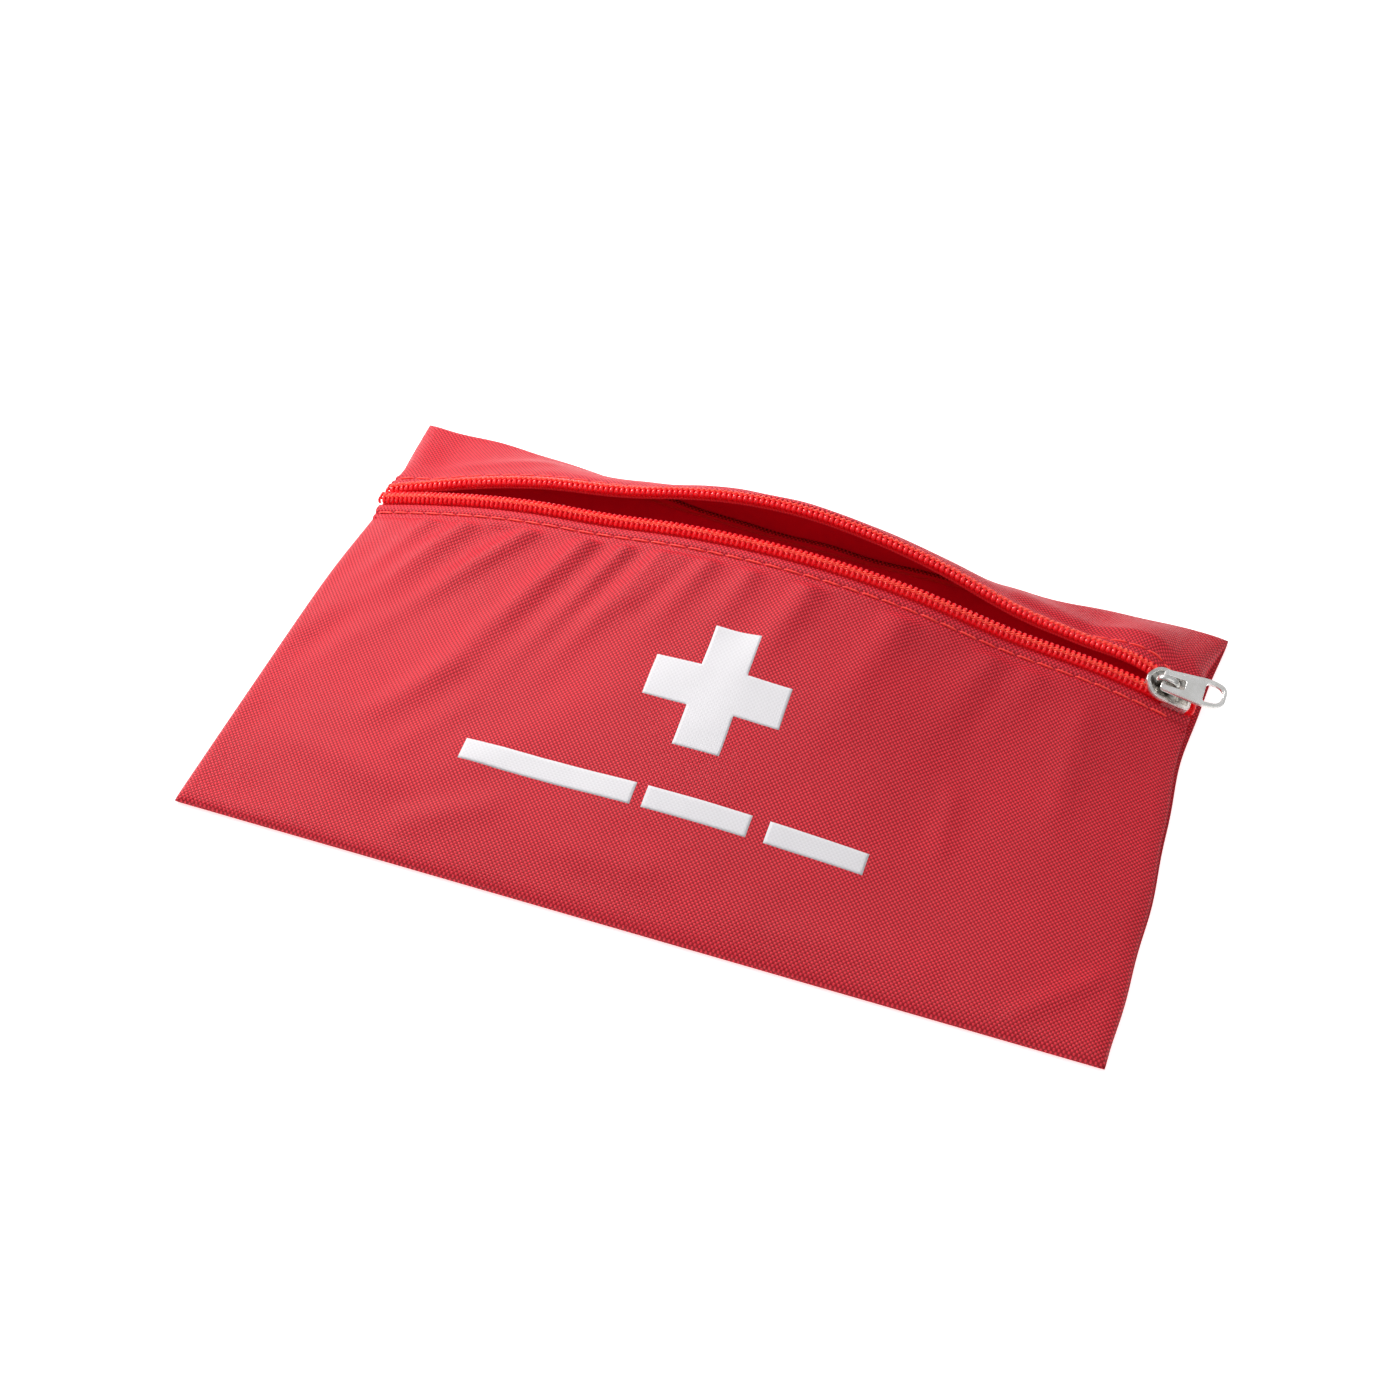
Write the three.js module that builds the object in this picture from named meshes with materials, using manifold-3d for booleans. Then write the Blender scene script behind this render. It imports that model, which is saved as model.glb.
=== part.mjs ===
// A flat red zip pouch for first aid supplies, lying on its back with its mouth open.
// Millimetres. +X runs along the zip, +Y towards the edge nearest the zip, +Z out of the front.
// The origin is on the underside of the back panel, midway between the side seams.
import * as THREE from 'three';
import { mergeVertices } from 'three/addons/utils/BufferGeometryUtils.js';
import Module from 'manifold-3d';

// Pouch
const HALF_WIDTH = 120.5;
const HALF_HEIGHT = 75;
const CLOTH = 0.6;
const EDGE_Z = 1.5;
// The edges lean a little, the sides draw in beside the zip, and the top edge is drawn towards its arch
const LEFT_EDGE = { x: -120.2, lean: 0.013, pull: 2, waistY: 41, spread: 22 };
const RIGHT_EDGE = { x: 120.1, lean: -0.013, pull: 3.2, waistY: 26, spread: 34 };
const BOTTOM_EDGE = { y: -75.5, slope: 0.01 };
const TOP_EDGE = { y: 73.8, slope: -0.0187, draw: 5.2, drawX: 12 };

// Zip: each half is a circular arc standing on the same chord between the side seams
const CHORD_HALF = 117;
const CHORD_X = -1;
const CHORD_Y = 41.8;
const CHORD_Z = 4;
const SAGITTA = 22.8;
const LOWER_PLANE = THREE.MathUtils.degToRad(99);
const UPPER_PLANE = THREE.MathUtils.degToRad(66);
const QUARTER = Math.PI / 2;
// The upper tape turns down behind its teeth, less near the left seam than over the mouth
const TAPE_DROP = {
  left: THREE.MathUtils.degToRad(-16),
  mouth: THREE.MathUtils.degToRad(-34),
  fromU: -0.85,
  overU: 0.8,
};
const INTO_SLIDER = { fromU: 0.7, overU: 0.18 };
const INTO_SEAM = { fromU: -0.88, overU: 0.1 };
const ARC_RADIUS = (CHORD_HALF ** 2 + SAGITTA ** 2) / (2 * SAGITTA);
const ARC_HALF_ANGLE = Math.asin(CHORD_HALF / ARC_RADIUS);
const COARSE_STEPS = 30;
const FINE_STEPS = 18;
const FINE_FROM = 0.66;
const FRONT_STEPS = 9;
const STRIP_STEPS = 6;
const BACK_STEPS = 14;
const SEAM_THREAD_STEPS = 12;

// Half chain section: "a" runs across the tape from the line where the teeth meet, "b" is up
const COIL_INNER = 0.4;
const COIL_OUTER = 3.3;
const COIL_HALF_THICK = 1.1;
const COIL_CORNER = { innerA: 0.35, innerB: 0.45, outerA: 0.3, outerB: 0.5 };
const CORD_SLOT = { from: 1.2, to: 2.5, top: 0.35 };
const CORD_GAP = 0.15;
const CORD_SIDES = 6;
const THREAD_GROOVE = { from: 1.45, to: 2.25, depth: 0.3 };
const TAPE = { from: 0.9, to: 6.6, top: -1.4, thick: 0.5 };
const HEM_EDGE = 4;
const HEM_END = 8.5;
const HEM_B = -0.8;
const LEAST_SLOPE = 1e-6;
const TOPSTITCH_A = 6.8;
const TOPSTITCH_GAP = 0.3;
const TOPSTITCH_THICK = 0.3;
const THREAD_WIDTH = 0.5;
const THREAD_GAP = 0.15;
const THREAD_RISE = 0.1;
const CHAIN_END_TRIM = 0.985;
// The teeth meet at this x inside the slider, and the upper half leaves it at this slope
const MEETING_X = 107.7;
const SPREAD_SLOPE = 0.6;

// Seam threads, between the two layers just inside each edge
const SEAM_INSET = 3;
const SEAM_THREAD = { width: 0.6, bottom: 0.75, top: 1.05 };

// Slider: local x runs along the chain towards the tail, local y across it, local z outwards
const SLIDER_TURN = THREE.MathUtils.degToRad(20.44);
const PLATE = {
  nose: -6.3,
  tail: 6.3,
  tailHalf: 4.3,
  noseHalf: 4.9,
  noseRound: 2.2,
  frontHalf: 1.6,
  waistX: 2.2,
};
const PLATE_TOP = { bottom: 1.45, top: 2.45 };
const PLATE_BOTTOM = { bottom: -3.25, top: -2.25 };
// Overlap that welds the slider's pieces into one casting
const WELD = 0.1;
const FLANGE = { thick: 0.85, bottom: -0.2, fromX: -0.6 };
const CHANNEL_GAP = 0.3;
const POST = { fromX: -5.9, toX: -4.4, fromY: 0.02, toY: 1.2 };
const BRIDGE = {
  x: -1.4,
  halfLength: 3.4,
  height: 3.9,
  bar: 1,
  width: 1.9,
  seat: 0.05,
  flatHalf: 1.4,
  innerFlatHalf: 1.1,
};
const PULL_AXIS = { x: -2.6, z: 4.1 };
const PULL_TILT = THREE.MathUtils.degToRad(15);
const PULL = {
  length: 17.4,
  thick: 1,
  barHalf: 0.6,
  eyeHalf: 3.2,
  endHalf: 4.3,
  corner: 1,
  shoulder: 12.6,
};
const PULL_EYE = { from: 0.6, to: 6.0, half: 1.5 };
const PULL_WINDOW = { from: 10, to: 16.2, half: 3.2, middle: 13, flatHalf: 1.2 };

// Print on the front panel
const INK = { gap: 0.25, thick: 0.15, cell: 6 };
const CROSS = { x: 0.6, y: -8.1, arm: 12.4, span: 36.2 };
const BARS = [
  { name: 'print_bar_left', from: -55, to: -8.5 },
  { name: 'print_bar_middle', from: -5.5, to: 21.9 },
  { name: 'print_bar_right', from: 26.5, to: 52 },
];
const BAR_Y = -41.2;
const BAR_HEIGHT = 5.6;
const BISECTIONS = 24;

const FABRIC_RED = { color: 0xc62f38, roughness: 0.6, metalness: 0 };
const TAPE_RED = { color: 0xb31822, roughness: 0.7, metalness: 0 };
const COIL_RED = { color: 0xd81e1e, roughness: 0.3, metalness: 0 };
const THREAD_RED = { color: 0xe23a35, roughness: 0.6, metalness: 0 };
const NICKEL = { color: 0xc9c7c4, roughness: 0.22, metalness: 1 };
const INK_WHITE = { color: 0xf4f2f2, roughness: 0.5, metalness: 0 };

const wasm = await Module();
wasm.setup();
const pouch = new THREE.Group();

function addPart(group, name, geometry, look) {
  const mesh = new THREE.Mesh(geometry, new THREE.MeshStandardMaterial(look));
  mesh.name = name;
  group.add(mesh);
  return mesh;
}

function solidOf(geometry) {
  const bare = geometry.clone();
  bare.deleteAttribute('normal');
  bare.deleteAttribute('uv');
  const merged = mergeVertices(bare, 1e-4);
  return new wasm.Manifold(new wasm.Mesh({
    numProp: 3,
    vertProperties: merged.attributes.position.array,
    triVerts: Uint32Array.from(merged.index.array),
  }));
}

function geometryOf(solid) {
  const mesh = solid.getMesh();
  const geometry = new THREE.BufferGeometry();
  geometry.setAttribute('position', new THREE.BufferAttribute(mesh.vertProperties, 3));
  geometry.setIndex(new THREE.BufferAttribute(mesh.triVerts, 1));
  geometry.computeVertexNormals();
  return geometry;
}

function signedVolume(points, triangles) {
  let volume = 0;
  const cross = new THREE.Vector3();
  for (const [i, j, k] of triangles) {
    volume += cross.crossVectors(points[i], points[j]).dot(points[k]);
  }
  return volume;
}

function closedGeometry(points, triangles) {
  const outward = signedVolume(points, triangles) > 0;
  const index = triangles.flatMap(([i, j, k]) => (outward ? [i, j, k] : [i, k, j]));
  const geometry = new THREE.BufferGeometry().setFromPoints(points);
  geometry.setIndex(index);
  geometry.computeVertexNormals();
  return geometry;
}

// Joins rings of matching points into one closed solid, with flat caps on the first and last ring.
function loft(rings, capOutline) {
  const count = rings[0].length;
  const triangles = [];
  for (let r = 0; r + 1 < rings.length; r += 1) {
    for (let i = 0; i < count; i += 1) {
      const a = r * count + i;
      const b = r * count + ((i + 1) % count);
      triangles.push([a, a + count, b]);
      triangles.push([b, a + count, b + count]);
    }
  }
  const lastRing = (rings.length - 1) * count;
  const forward = THREE.ShapeUtils.isClockWise(capOutline) ? -1 : 1;
  for (const face of THREE.ShapeUtils.triangulateShape(capOutline, [])) {
    const [i, j, k] = forward > 0 ? face : face.reverse();
    triangles.push([i, j, k]);
    triangles.push([lastRing + k, lastRing + j, lastRing + i]);
  }
  return closedGeometry(rings.flat(), triangles);
}

function smooth(t) {
  const s = THREE.MathUtils.clamp(t, 0, 1);
  return s * s * (3 - 2 * s);
}

// Outline of the pouch in plan
function drawnIn(edge, y) {
  return edge.pull * Math.exp(-(((y - edge.waistY) / edge.spread) ** 2));
}

function leftEdge(y) {
  return LEFT_EDGE.x + LEFT_EDGE.lean * y + drawnIn(LEFT_EDGE, y);
}

function rightEdge(y) {
  return RIGHT_EDGE.x + RIGHT_EDGE.lean * y - drawnIn(RIGHT_EDGE, y);
}

function bottomEdge(x) {
  return BOTTOM_EDGE.y + BOTTOM_EDGE.slope * x;
}

function topEdge(x) {
  const towardsMiddle = Math.max(0, 1 - ((x - TOP_EDGE.drawX) / HALF_WIDTH) ** 2);
  return TOP_EDGE.y + TOP_EDGE.slope * x - TOP_EDGE.draw * towardsMiddle ** 2;
}

function acrossPouch(u, y) {
  return THREE.MathUtils.lerp(leftEdge(y), rightEdge(y), (u + 1) / 2);
}

// Local frame on a half chain: u is -1 at the left side seam and 1 at the right one
function chainFrame(u, planeAngle, tapeAngle) {
  const turn = u * ARC_HALF_ANGLE;
  const rise = new THREE.Vector3(0, Math.cos(planeAngle), Math.sin(planeAngle));
  const sideways = new THREE.Vector3(1, 0, 0);
  const origin = new THREE.Vector3(CHORD_X, CHORD_Y, CHORD_Z)
    .addScaledVector(sideways, ARC_RADIUS * Math.sin(turn))
    .addScaledVector(rise, ARC_RADIUS * (Math.cos(turn) - 1) + SAGITTA);
  const along = sideways.clone().multiplyScalar(Math.cos(turn)).addScaledVector(rise, -Math.sin(turn));
  const across = new THREE.Vector3(0, Math.cos(tapeAngle), Math.sin(tapeAngle));
  const up = along.clone().cross(across).normalize();
  return { origin, along, across, up };
}

function lowerFrame(u) {
  return chainFrame(u, LOWER_PLANE, LOWER_PLANE - QUARTER);
}

// The open half lies flat again where it runs into the slider and into the left side seam.
function upperFrame(u) {
  const overMouth = smooth((u - TAPE_DROP.fromU) / TAPE_DROP.overU);
  const open = THREE.MathUtils.lerp(TAPE_DROP.left, TAPE_DROP.mouth, overMouth);
  const intoSlider = smooth((u - INTO_SLIDER.fromU) / INTO_SLIDER.overU);
  const intoSeam = smooth((INTO_SEAM.fromU - u) / INTO_SEAM.overU);
  const flat = THREE.MathUtils.lerp(open, LOWER_PLANE - QUARTER, intoSlider);
  const tapeAngle = THREE.MathUtils.lerp(flat, 0, intoSeam);
  const frame = chainFrame(u, UPPER_PLANE, tapeAngle);
  const beside = chainFrame(u, LOWER_PLANE, LOWER_PLANE - QUARTER);
  const fromMeeting = MEETING_X - beside.origin.x;
  const apart = Math.min(frame.origin.distanceTo(beside.origin), Math.max(0, fromMeeting * SPREAD_SLOPE));
  const inSlider = beside.origin.clone().addScaledVector(beside.across, apart);
  frame.origin.lerp(inSlider, intoSlider);
  return frame;
}

function place(frame, a, b) {
  return frame.origin.clone().addScaledVector(frame.across, a).addScaledVector(frame.up, b);
}

function mirrored(section, side) {
  return section.map(([a, b]) => [side * a, b]);
}

// Stations from side seam to side seam, closer together beside the slider
function stations() {
  const coarse = Array.from({ length: COARSE_STEPS }, (_, i) =>
    THREE.MathUtils.lerp(-1, FINE_FROM, i / COARSE_STEPS));
  const fine = Array.from({ length: FINE_STEPS + 1 }, (_, i) =>
    THREE.MathUtils.lerp(FINE_FROM, 1, i / FINE_STEPS));
  return coarse.concat(fine);
}

// Sweeps a constant section along one half chain. side is -1 for the lower half, 1 for the upper.
function sweepChain(frameAt, section, side) {
  const outline = mirrored(section, side);
  const rings = stations().map((u) => {
    const frame = frameAt(u * CHAIN_END_TRIM);
    return outline.map(([a, b]) => place(frame, a, b));
  });
  return loft(rings, outline.map(([a, b]) => new THREE.Vector2(a, b)));
}

function coilSection() {
  const grooveFloor = COIL_HALF_THICK - THREAD_GROOVE.depth;
  const { innerA, innerB, outerA, outerB } = COIL_CORNER;
  return [
    [COIL_INNER, -innerB],
    [COIL_INNER + innerA, -COIL_HALF_THICK],
    [CORD_SLOT.from, -COIL_HALF_THICK],
    [CORD_SLOT.from, CORD_SLOT.top],
    [CORD_SLOT.to, CORD_SLOT.top],
    [CORD_SLOT.to, -COIL_HALF_THICK],
    [COIL_OUTER - outerA, -COIL_HALF_THICK],
    [COIL_OUTER, -outerB],
    [COIL_OUTER, outerB],
    [COIL_OUTER - outerA, COIL_HALF_THICK],
    [THREAD_GROOVE.to, COIL_HALF_THICK],
    [THREAD_GROOVE.to, grooveFloor],
    [THREAD_GROOVE.from, grooveFloor],
    [THREAD_GROOVE.from, COIL_HALF_THICK],
    [COIL_INNER + innerA, COIL_HALF_THICK],
    [COIL_INNER, innerB],
  ];
}

function boxSection(fromA, toA, fromB, toB) {
  return [[fromA, fromB], [toA, fromB], [toA, toB], [fromA, toB]];
}

function cordSection() {
  const half = (CORD_SLOT.to - CORD_SLOT.from) / 2 - CORD_GAP;
  const midA = (CORD_SLOT.to + CORD_SLOT.from) / 2;
  const midB = CORD_SLOT.top - CORD_GAP - half;
  return Array.from({ length: CORD_SIDES }, (_, i) => {
    const angle = ((2 * i + 1) * Math.PI) / CORD_SIDES;
    return [midA + half * Math.cos(angle), midB + half * Math.sin(angle)];
  });
}

function addHalfChain(name, frameAt, side) {
  const groove = THREAD_GROOVE;
  const threadFloor = COIL_HALF_THICK - groove.depth + THREAD_GAP;
  const threadSection = boxSection(
    groove.from + THREAD_GAP, groove.to - THREAD_GAP, threadFloor, COIL_HALF_THICK + THREAD_RISE);
  const tapeSection = boxSection(TAPE.from, TAPE.to, TAPE.top - TAPE.thick, TAPE.top);
  const hemTop = HEM_B + CLOTH / 2;
  const stitchSection = boxSection(
    TOPSTITCH_A - THREAD_WIDTH / 2, TOPSTITCH_A + THREAD_WIDTH / 2,
    hemTop + TOPSTITCH_GAP, hemTop + TOPSTITCH_GAP + TOPSTITCH_THICK);
  addPart(pouch, `zipper_tape_${name}`, sweepChain(frameAt, tapeSection, side), TAPE_RED);
  addPart(pouch, `zipper_coil_${name}`, sweepChain(frameAt, coilSection(), side), COIL_RED);
  addPart(pouch, `coil_core_cord_${name}`, sweepChain(frameAt, cordSection(), side), TAPE_RED);
  addPart(pouch, `coil_sewing_thread_${name}`, sweepChain(frameAt, threadSection, side), THREAD_RED);
  addPart(pouch, `topstitch_${name}`, sweepChain(frameAt, stitchSection, side), THREAD_RED);
}

// A cloth panel leaves the hem along the tape, then runs straight to an edge of the pouch.
function panelLine(hemEdge, hemEnd, foot, steps) {
  const reach = hemEnd.distanceTo(foot) / 3;
  const heading = hemEnd.clone().sub(hemEdge).normalize();
  const drop = Math.max(hemEnd.z - foot.z, 0) / Math.max(-heading.z, LEAST_SLOPE);
  const leave = heading.multiplyScalar(Math.min(reach, drop / 2)).add(hemEnd);
  const arrive = foot.clone().lerp(hemEnd, 1 / 3);
  const curve = new THREE.CubicBezierCurve3(hemEnd, leave, arrive, foot);
  return [hemEdge.clone()].concat(curve.getPoints(steps));
}

// Gives a line of points in a plane of constant x a thickness, and closes it into a ring.
function thickLine(line, thickness) {
  const upper = [];
  const lower = [];
  line.forEach((point, i) => {
    const before = line[Math.max(i - 1, 0)];
    const after = line[Math.min(i + 1, line.length - 1)];
    const run = new THREE.Vector2(after.y - before.y, after.z - before.z).normalize();
    const normal = new THREE.Vector3(0, -run.y, run.x).multiplyScalar(Math.sign(run.x) * thickness / 2);
    upper.push(point.clone().add(normal));
    lower.push(point.clone().sub(normal));
  });
  return upper.concat(lower.reverse());
}

// Slides the points of a line sideways so that the cloth's side edges follow the pouch's outline.
function followOutline(line, u) {
  const offset = line[1].x - acrossPouch(u, line[1].y);
  const run = line.length - 2;
  line.slice(1).forEach((point, i) => {
    point.x = acrossPouch(u, point.y) + offset * (1 - i / run);
  });
  return line;
}

function frontLine(u) {
  const frame = lowerFrame(u * CHAIN_END_TRIM);
  const hemEdge = place(frame, -HEM_EDGE, HEM_B);
  const hemEnd = place(frame, -HEM_END, HEM_B);
  const footX = acrossPouch(u, -HALF_HEIGHT);
  const foot = new THREE.Vector3(footX, bottomEdge(footX), EDGE_Z);
  return followOutline(panelLine(hemEdge, hemEnd, foot, FRONT_STEPS), u);
}

function stripLine(u) {
  const frame = upperFrame(u * CHAIN_END_TRIM);
  const hemEdge = place(frame, HEM_EDGE, HEM_B);
  const hemEnd = place(frame, HEM_END, HEM_B);
  const footX = acrossPouch(u, HALF_HEIGHT);
  const foot = new THREE.Vector3(footX, topEdge(footX), EDGE_Z);
  return followOutline(panelLine(hemEdge, hemEnd, foot, STRIP_STEPS), u);
}

function clothPanel(lineAt) {
  const rings = stations().map((u) => thickLine(lineAt(u), CLOTH));
  return loft(rings, rings[0].map((p) => new THREE.Vector2(p.y, p.z)));
}

function backOutline() {
  const corner = (edge, y) => new THREE.Vector2(edge(y), y);
  const bottomRight = corner(rightEdge, bottomEdge(HALF_WIDTH));
  const topRight = corner(rightEdge, topEdge(HALF_WIDTH));
  const topLeft = corner(leftEdge, topEdge(-HALF_WIDTH));
  const bottomLeft = corner(leftEdge, bottomEdge(-HALF_WIDTH));
  const outline = [];
  for (let i = 0; i <= BACK_STEPS; i += 1) {
    outline.push(corner(rightEdge, THREE.MathUtils.lerp(bottomRight.y, topRight.y, i / BACK_STEPS)));
  }
  for (let i = 1; i < BACK_STEPS; i += 1) {
    const x = THREE.MathUtils.lerp(topRight.x, topLeft.x, i / BACK_STEPS);
    outline.push(new THREE.Vector2(x, topEdge(x)));
  }
  for (let i = 0; i <= BACK_STEPS; i += 1) {
    outline.push(corner(leftEdge, THREE.MathUtils.lerp(topLeft.y, bottomLeft.y, i / BACK_STEPS)));
  }
  return outline;
}

function backPanel() {
  return slab(new THREE.Shape(backOutline()), 0, CLOTH);
}

// A seam thread is a thin flat strip that follows one edge of the pouch.
function seamThread(pointAt, from, to, sideways) {
  const rings = [];
  for (let i = 0; i <= SEAM_THREAD_STEPS; i += 1) {
    const p = pointAt(THREE.MathUtils.lerp(from, to, i / SEAM_THREAD_STEPS));
    const half = sideways.clone().multiplyScalar(SEAM_THREAD.width / 2);
    rings.push([
      new THREE.Vector3(p.x - half.x, p.y - half.y, SEAM_THREAD.bottom),
      new THREE.Vector3(p.x + half.x, p.y + half.y, SEAM_THREAD.bottom),
      new THREE.Vector3(p.x + half.x, p.y + half.y, SEAM_THREAD.top),
      new THREE.Vector3(p.x - half.x, p.y - half.y, SEAM_THREAD.top),
    ]);
  }
  return loft(rings, [[0, 0], [1, 0], [1, 1], [0, 1]].map(([a, b]) => new THREE.Vector2(a, b)));
}

function addSeamThreads() {
  const reachX = HALF_WIDTH - 2 * SEAM_INSET;
  const reachY = HALF_HEIGHT - 2 * SEAM_INSET;
  const alongY = new THREE.Vector2(0, 1);
  const alongX = new THREE.Vector2(1, 0);
  const left = (y) => new THREE.Vector2(leftEdge(y) + SEAM_INSET, y);
  const right = (y) => new THREE.Vector2(rightEdge(y) - SEAM_INSET, y);
  const bottom = (x) => new THREE.Vector2(x, bottomEdge(x) + SEAM_INSET);
  const top = (x) => new THREE.Vector2(x, topEdge(x) - SEAM_INSET);
  addPart(pouch, 'seam_thread_left', seamThread(left, -reachY, reachY, alongX), THREAD_RED);
  addPart(pouch, 'seam_thread_right', seamThread(right, -reachY, reachY, alongX), THREAD_RED);
  addPart(pouch, 'seam_thread_bottom', seamThread(bottom, -reachX, reachX, alongY), THREAD_RED);
  addPart(pouch, 'seam_thread_top', seamThread(top, -reachX, reachX, alongY), THREAD_RED);
}

// Height of the front panel's upper face above a point in plan
function frontHeight(x, y) {
  let left = -1;
  let right = 1;
  for (let i = 0; i < BISECTIONS; i += 1) {
    const middle = (left + right) / 2;
    if (pointOnLine(frontLine(middle), y).x < x) {
      left = middle;
    } else {
      right = middle;
    }
  }
  return pointOnLine(frontLine((left + right) / 2), y).z + CLOTH / 2;
}

function pointOnLine(line, y) {
  for (let i = 0; i + 1 < line.length; i += 1) {
    const [a, b] = [line[i], line[i + 1]];
    if (b.y <= y) {
      return a.clone().lerp(b, (a.y - y) / (a.y - b.y));
    }
  }
  return line[line.length - 1];
}

// A film of ink that follows the cloth. cellIsInked says which cells of the grid hold ink.
function inkFilm(xs, ys, cellIsInked) {
  const points = [];
  const level = [INK.gap, INK.gap + INK.thick];
  const used = new Map();
  const vertex = (i, j, k) => {
    const key = `${i},${j},${k}`;
    if (!used.has(key)) {
      used.set(key, points.length);
      points.push(new THREE.Vector3(xs[i], ys[j], frontHeight(xs[i], ys[j]) + level[k]));
    }
    return used.get(key);
  };
  const triangles = [];
  const quad = (a, b, c, d) => triangles.push([a, b, c], [a, c, d]);
  const inked = (i, j) => i >= 0 && j >= 0 && i + 1 < xs.length && j + 1 < ys.length && cellIsInked(i, j);
  for (let i = 0; i + 1 < xs.length; i += 1) {
    for (let j = 0; j + 1 < ys.length; j += 1) {
      if (!inked(i, j)) {
        continue;
      }
      quad(vertex(i, j, 1), vertex(i + 1, j, 1), vertex(i + 1, j + 1, 1), vertex(i, j + 1, 1));
      quad(vertex(i, j, 0), vertex(i, j + 1, 0), vertex(i + 1, j + 1, 0), vertex(i + 1, j, 0));
      if (!inked(i, j - 1)) {
        quad(vertex(i, j, 0), vertex(i + 1, j, 0), vertex(i + 1, j, 1), vertex(i, j, 1));
      }
      if (!inked(i + 1, j)) {
        quad(vertex(i + 1, j, 0), vertex(i + 1, j + 1, 0), vertex(i + 1, j + 1, 1), vertex(i + 1, j, 1));
      }
      if (!inked(i, j + 1)) {
        quad(vertex(i + 1, j + 1, 0), vertex(i, j + 1, 0), vertex(i, j + 1, 1), vertex(i + 1, j + 1, 1));
      }
      if (!inked(i - 1, j)) {
        quad(vertex(i, j + 1, 0), vertex(i, j, 0), vertex(i, j, 1), vertex(i, j + 1, 1));
      }
    }
  }
  return closedGeometry(points, triangles);
}

function gridLines(stops) {
  const lines = [stops[0]];
  for (let s = 0; s + 1 < stops.length; s += 1) {
    const cells = Math.max(1, Math.round((stops[s + 1] - stops[s]) / INK.cell));
    for (let i = 1; i <= cells; i += 1) {
      lines.push(THREE.MathUtils.lerp(stops[s], stops[s + 1], i / cells));
    }
  }
  return lines;
}

function addPrint() {
  const stops = [-CROSS.span / 2, -CROSS.arm / 2, CROSS.arm / 2, CROSS.span / 2];
  const xs = gridLines(stops.map((s) => CROSS.x + s));
  const ys = gridLines(stops.map((s) => CROSS.y + s));
  const inArm = (lines, i, centre) => Math.abs((lines[i] + lines[i + 1]) / 2 - centre) < CROSS.arm / 2;
  const cross = inkFilm(xs, ys, (i, j) => inArm(xs, i, CROSS.x) || inArm(ys, j, CROSS.y));
  addPart(pouch, 'print_cross', cross, INK_WHITE);
  for (const bar of BARS) {
    const barXs = gridLines([bar.from, bar.to]);
    const barYs = [BAR_Y - BAR_HEIGHT / 2, BAR_Y + BAR_HEIGHT / 2];
    addPart(pouch, bar.name, inkFilm(barXs, barYs, () => true), INK_WHITE);
  }
}

// Slider
function plateShape(grow) {
  const shape = new THREE.Shape();
  const tailHalf = PLATE.tailHalf + grow;
  const noseHalf = PLATE.noseHalf + grow;
  const noseStart = PLATE.nose + PLATE.noseRound;
  shape.moveTo(PLATE.tail, -tailHalf);
  shape.lineTo(PLATE.tail, tailHalf);
  shape.quadraticCurveTo(PLATE.waistX, tailHalf, noseStart, noseHalf);
  shape.quadraticCurveTo(PLATE.nose, noseHalf, PLATE.nose, PLATE.frontHalf);
  shape.lineTo(PLATE.nose, -PLATE.frontHalf);
  shape.quadraticCurveTo(PLATE.nose, -noseHalf, noseStart, -noseHalf);
  shape.quadraticCurveTo(PLATE.waistX, -tailHalf, PLATE.tail, -tailHalf);
  return shape;
}

function slab(shape, from, to, curveSegments = 5) {
  const geometry = new THREE.ExtrudeGeometry(shape, { depth: to - from, bevelEnabled: false, curveSegments });
  return geometry.translate(0, 0, from);
}

function slabXY(fromX, toX, fromY, toY, fromZ, toZ) {
  const box = new THREE.BoxGeometry(toX - fromX, toY - fromY, toZ - fromZ);
  return box.translate((fromX + toX) / 2, (fromY + toY) / 2, (fromZ + toZ) / 2);
}

function sliderBody() {
  const top = solidOf(slab(plateShape(0), PLATE_TOP.bottom, PLATE_TOP.top));
  const bottom = solidOf(slab(plateShape(0), PLATE_BOTTOM.bottom, PLATE_BOTTOM.top));
  const rim = solidOf(slab(plateShape(0), FLANGE.bottom, PLATE_TOP.bottom + WELD));
  const channel = solidOf(slab(plateShape(-FLANGE.thick), FLANGE.bottom - 1, PLATE_TOP.bottom));
  const clear = 2 * PLATE.tail;
  const half = COIL_OUTER + CHANNEL_GAP;
  const chainWay = solidOf(slabXY(-clear, clear, -half, half, FLANGE.bottom - 1, PLATE_TOP.bottom));
  const noseWay = solidOf(slabXY(-clear, FLANGE.fromX, -clear, clear, FLANGE.bottom - 1, PLATE_TOP.bottom));
  const flanges = rim.subtract(channel).subtract(chainWay).subtract(noseWay);
  const post = solidOf(slabXY(
    POST.fromX, POST.toX, POST.fromY, POST.toY, PLATE_BOTTOM.top - WELD, PLATE_TOP.bottom + WELD));
  return geometryOf(top.add(flanges).add(post).add(bottom));
}

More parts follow.
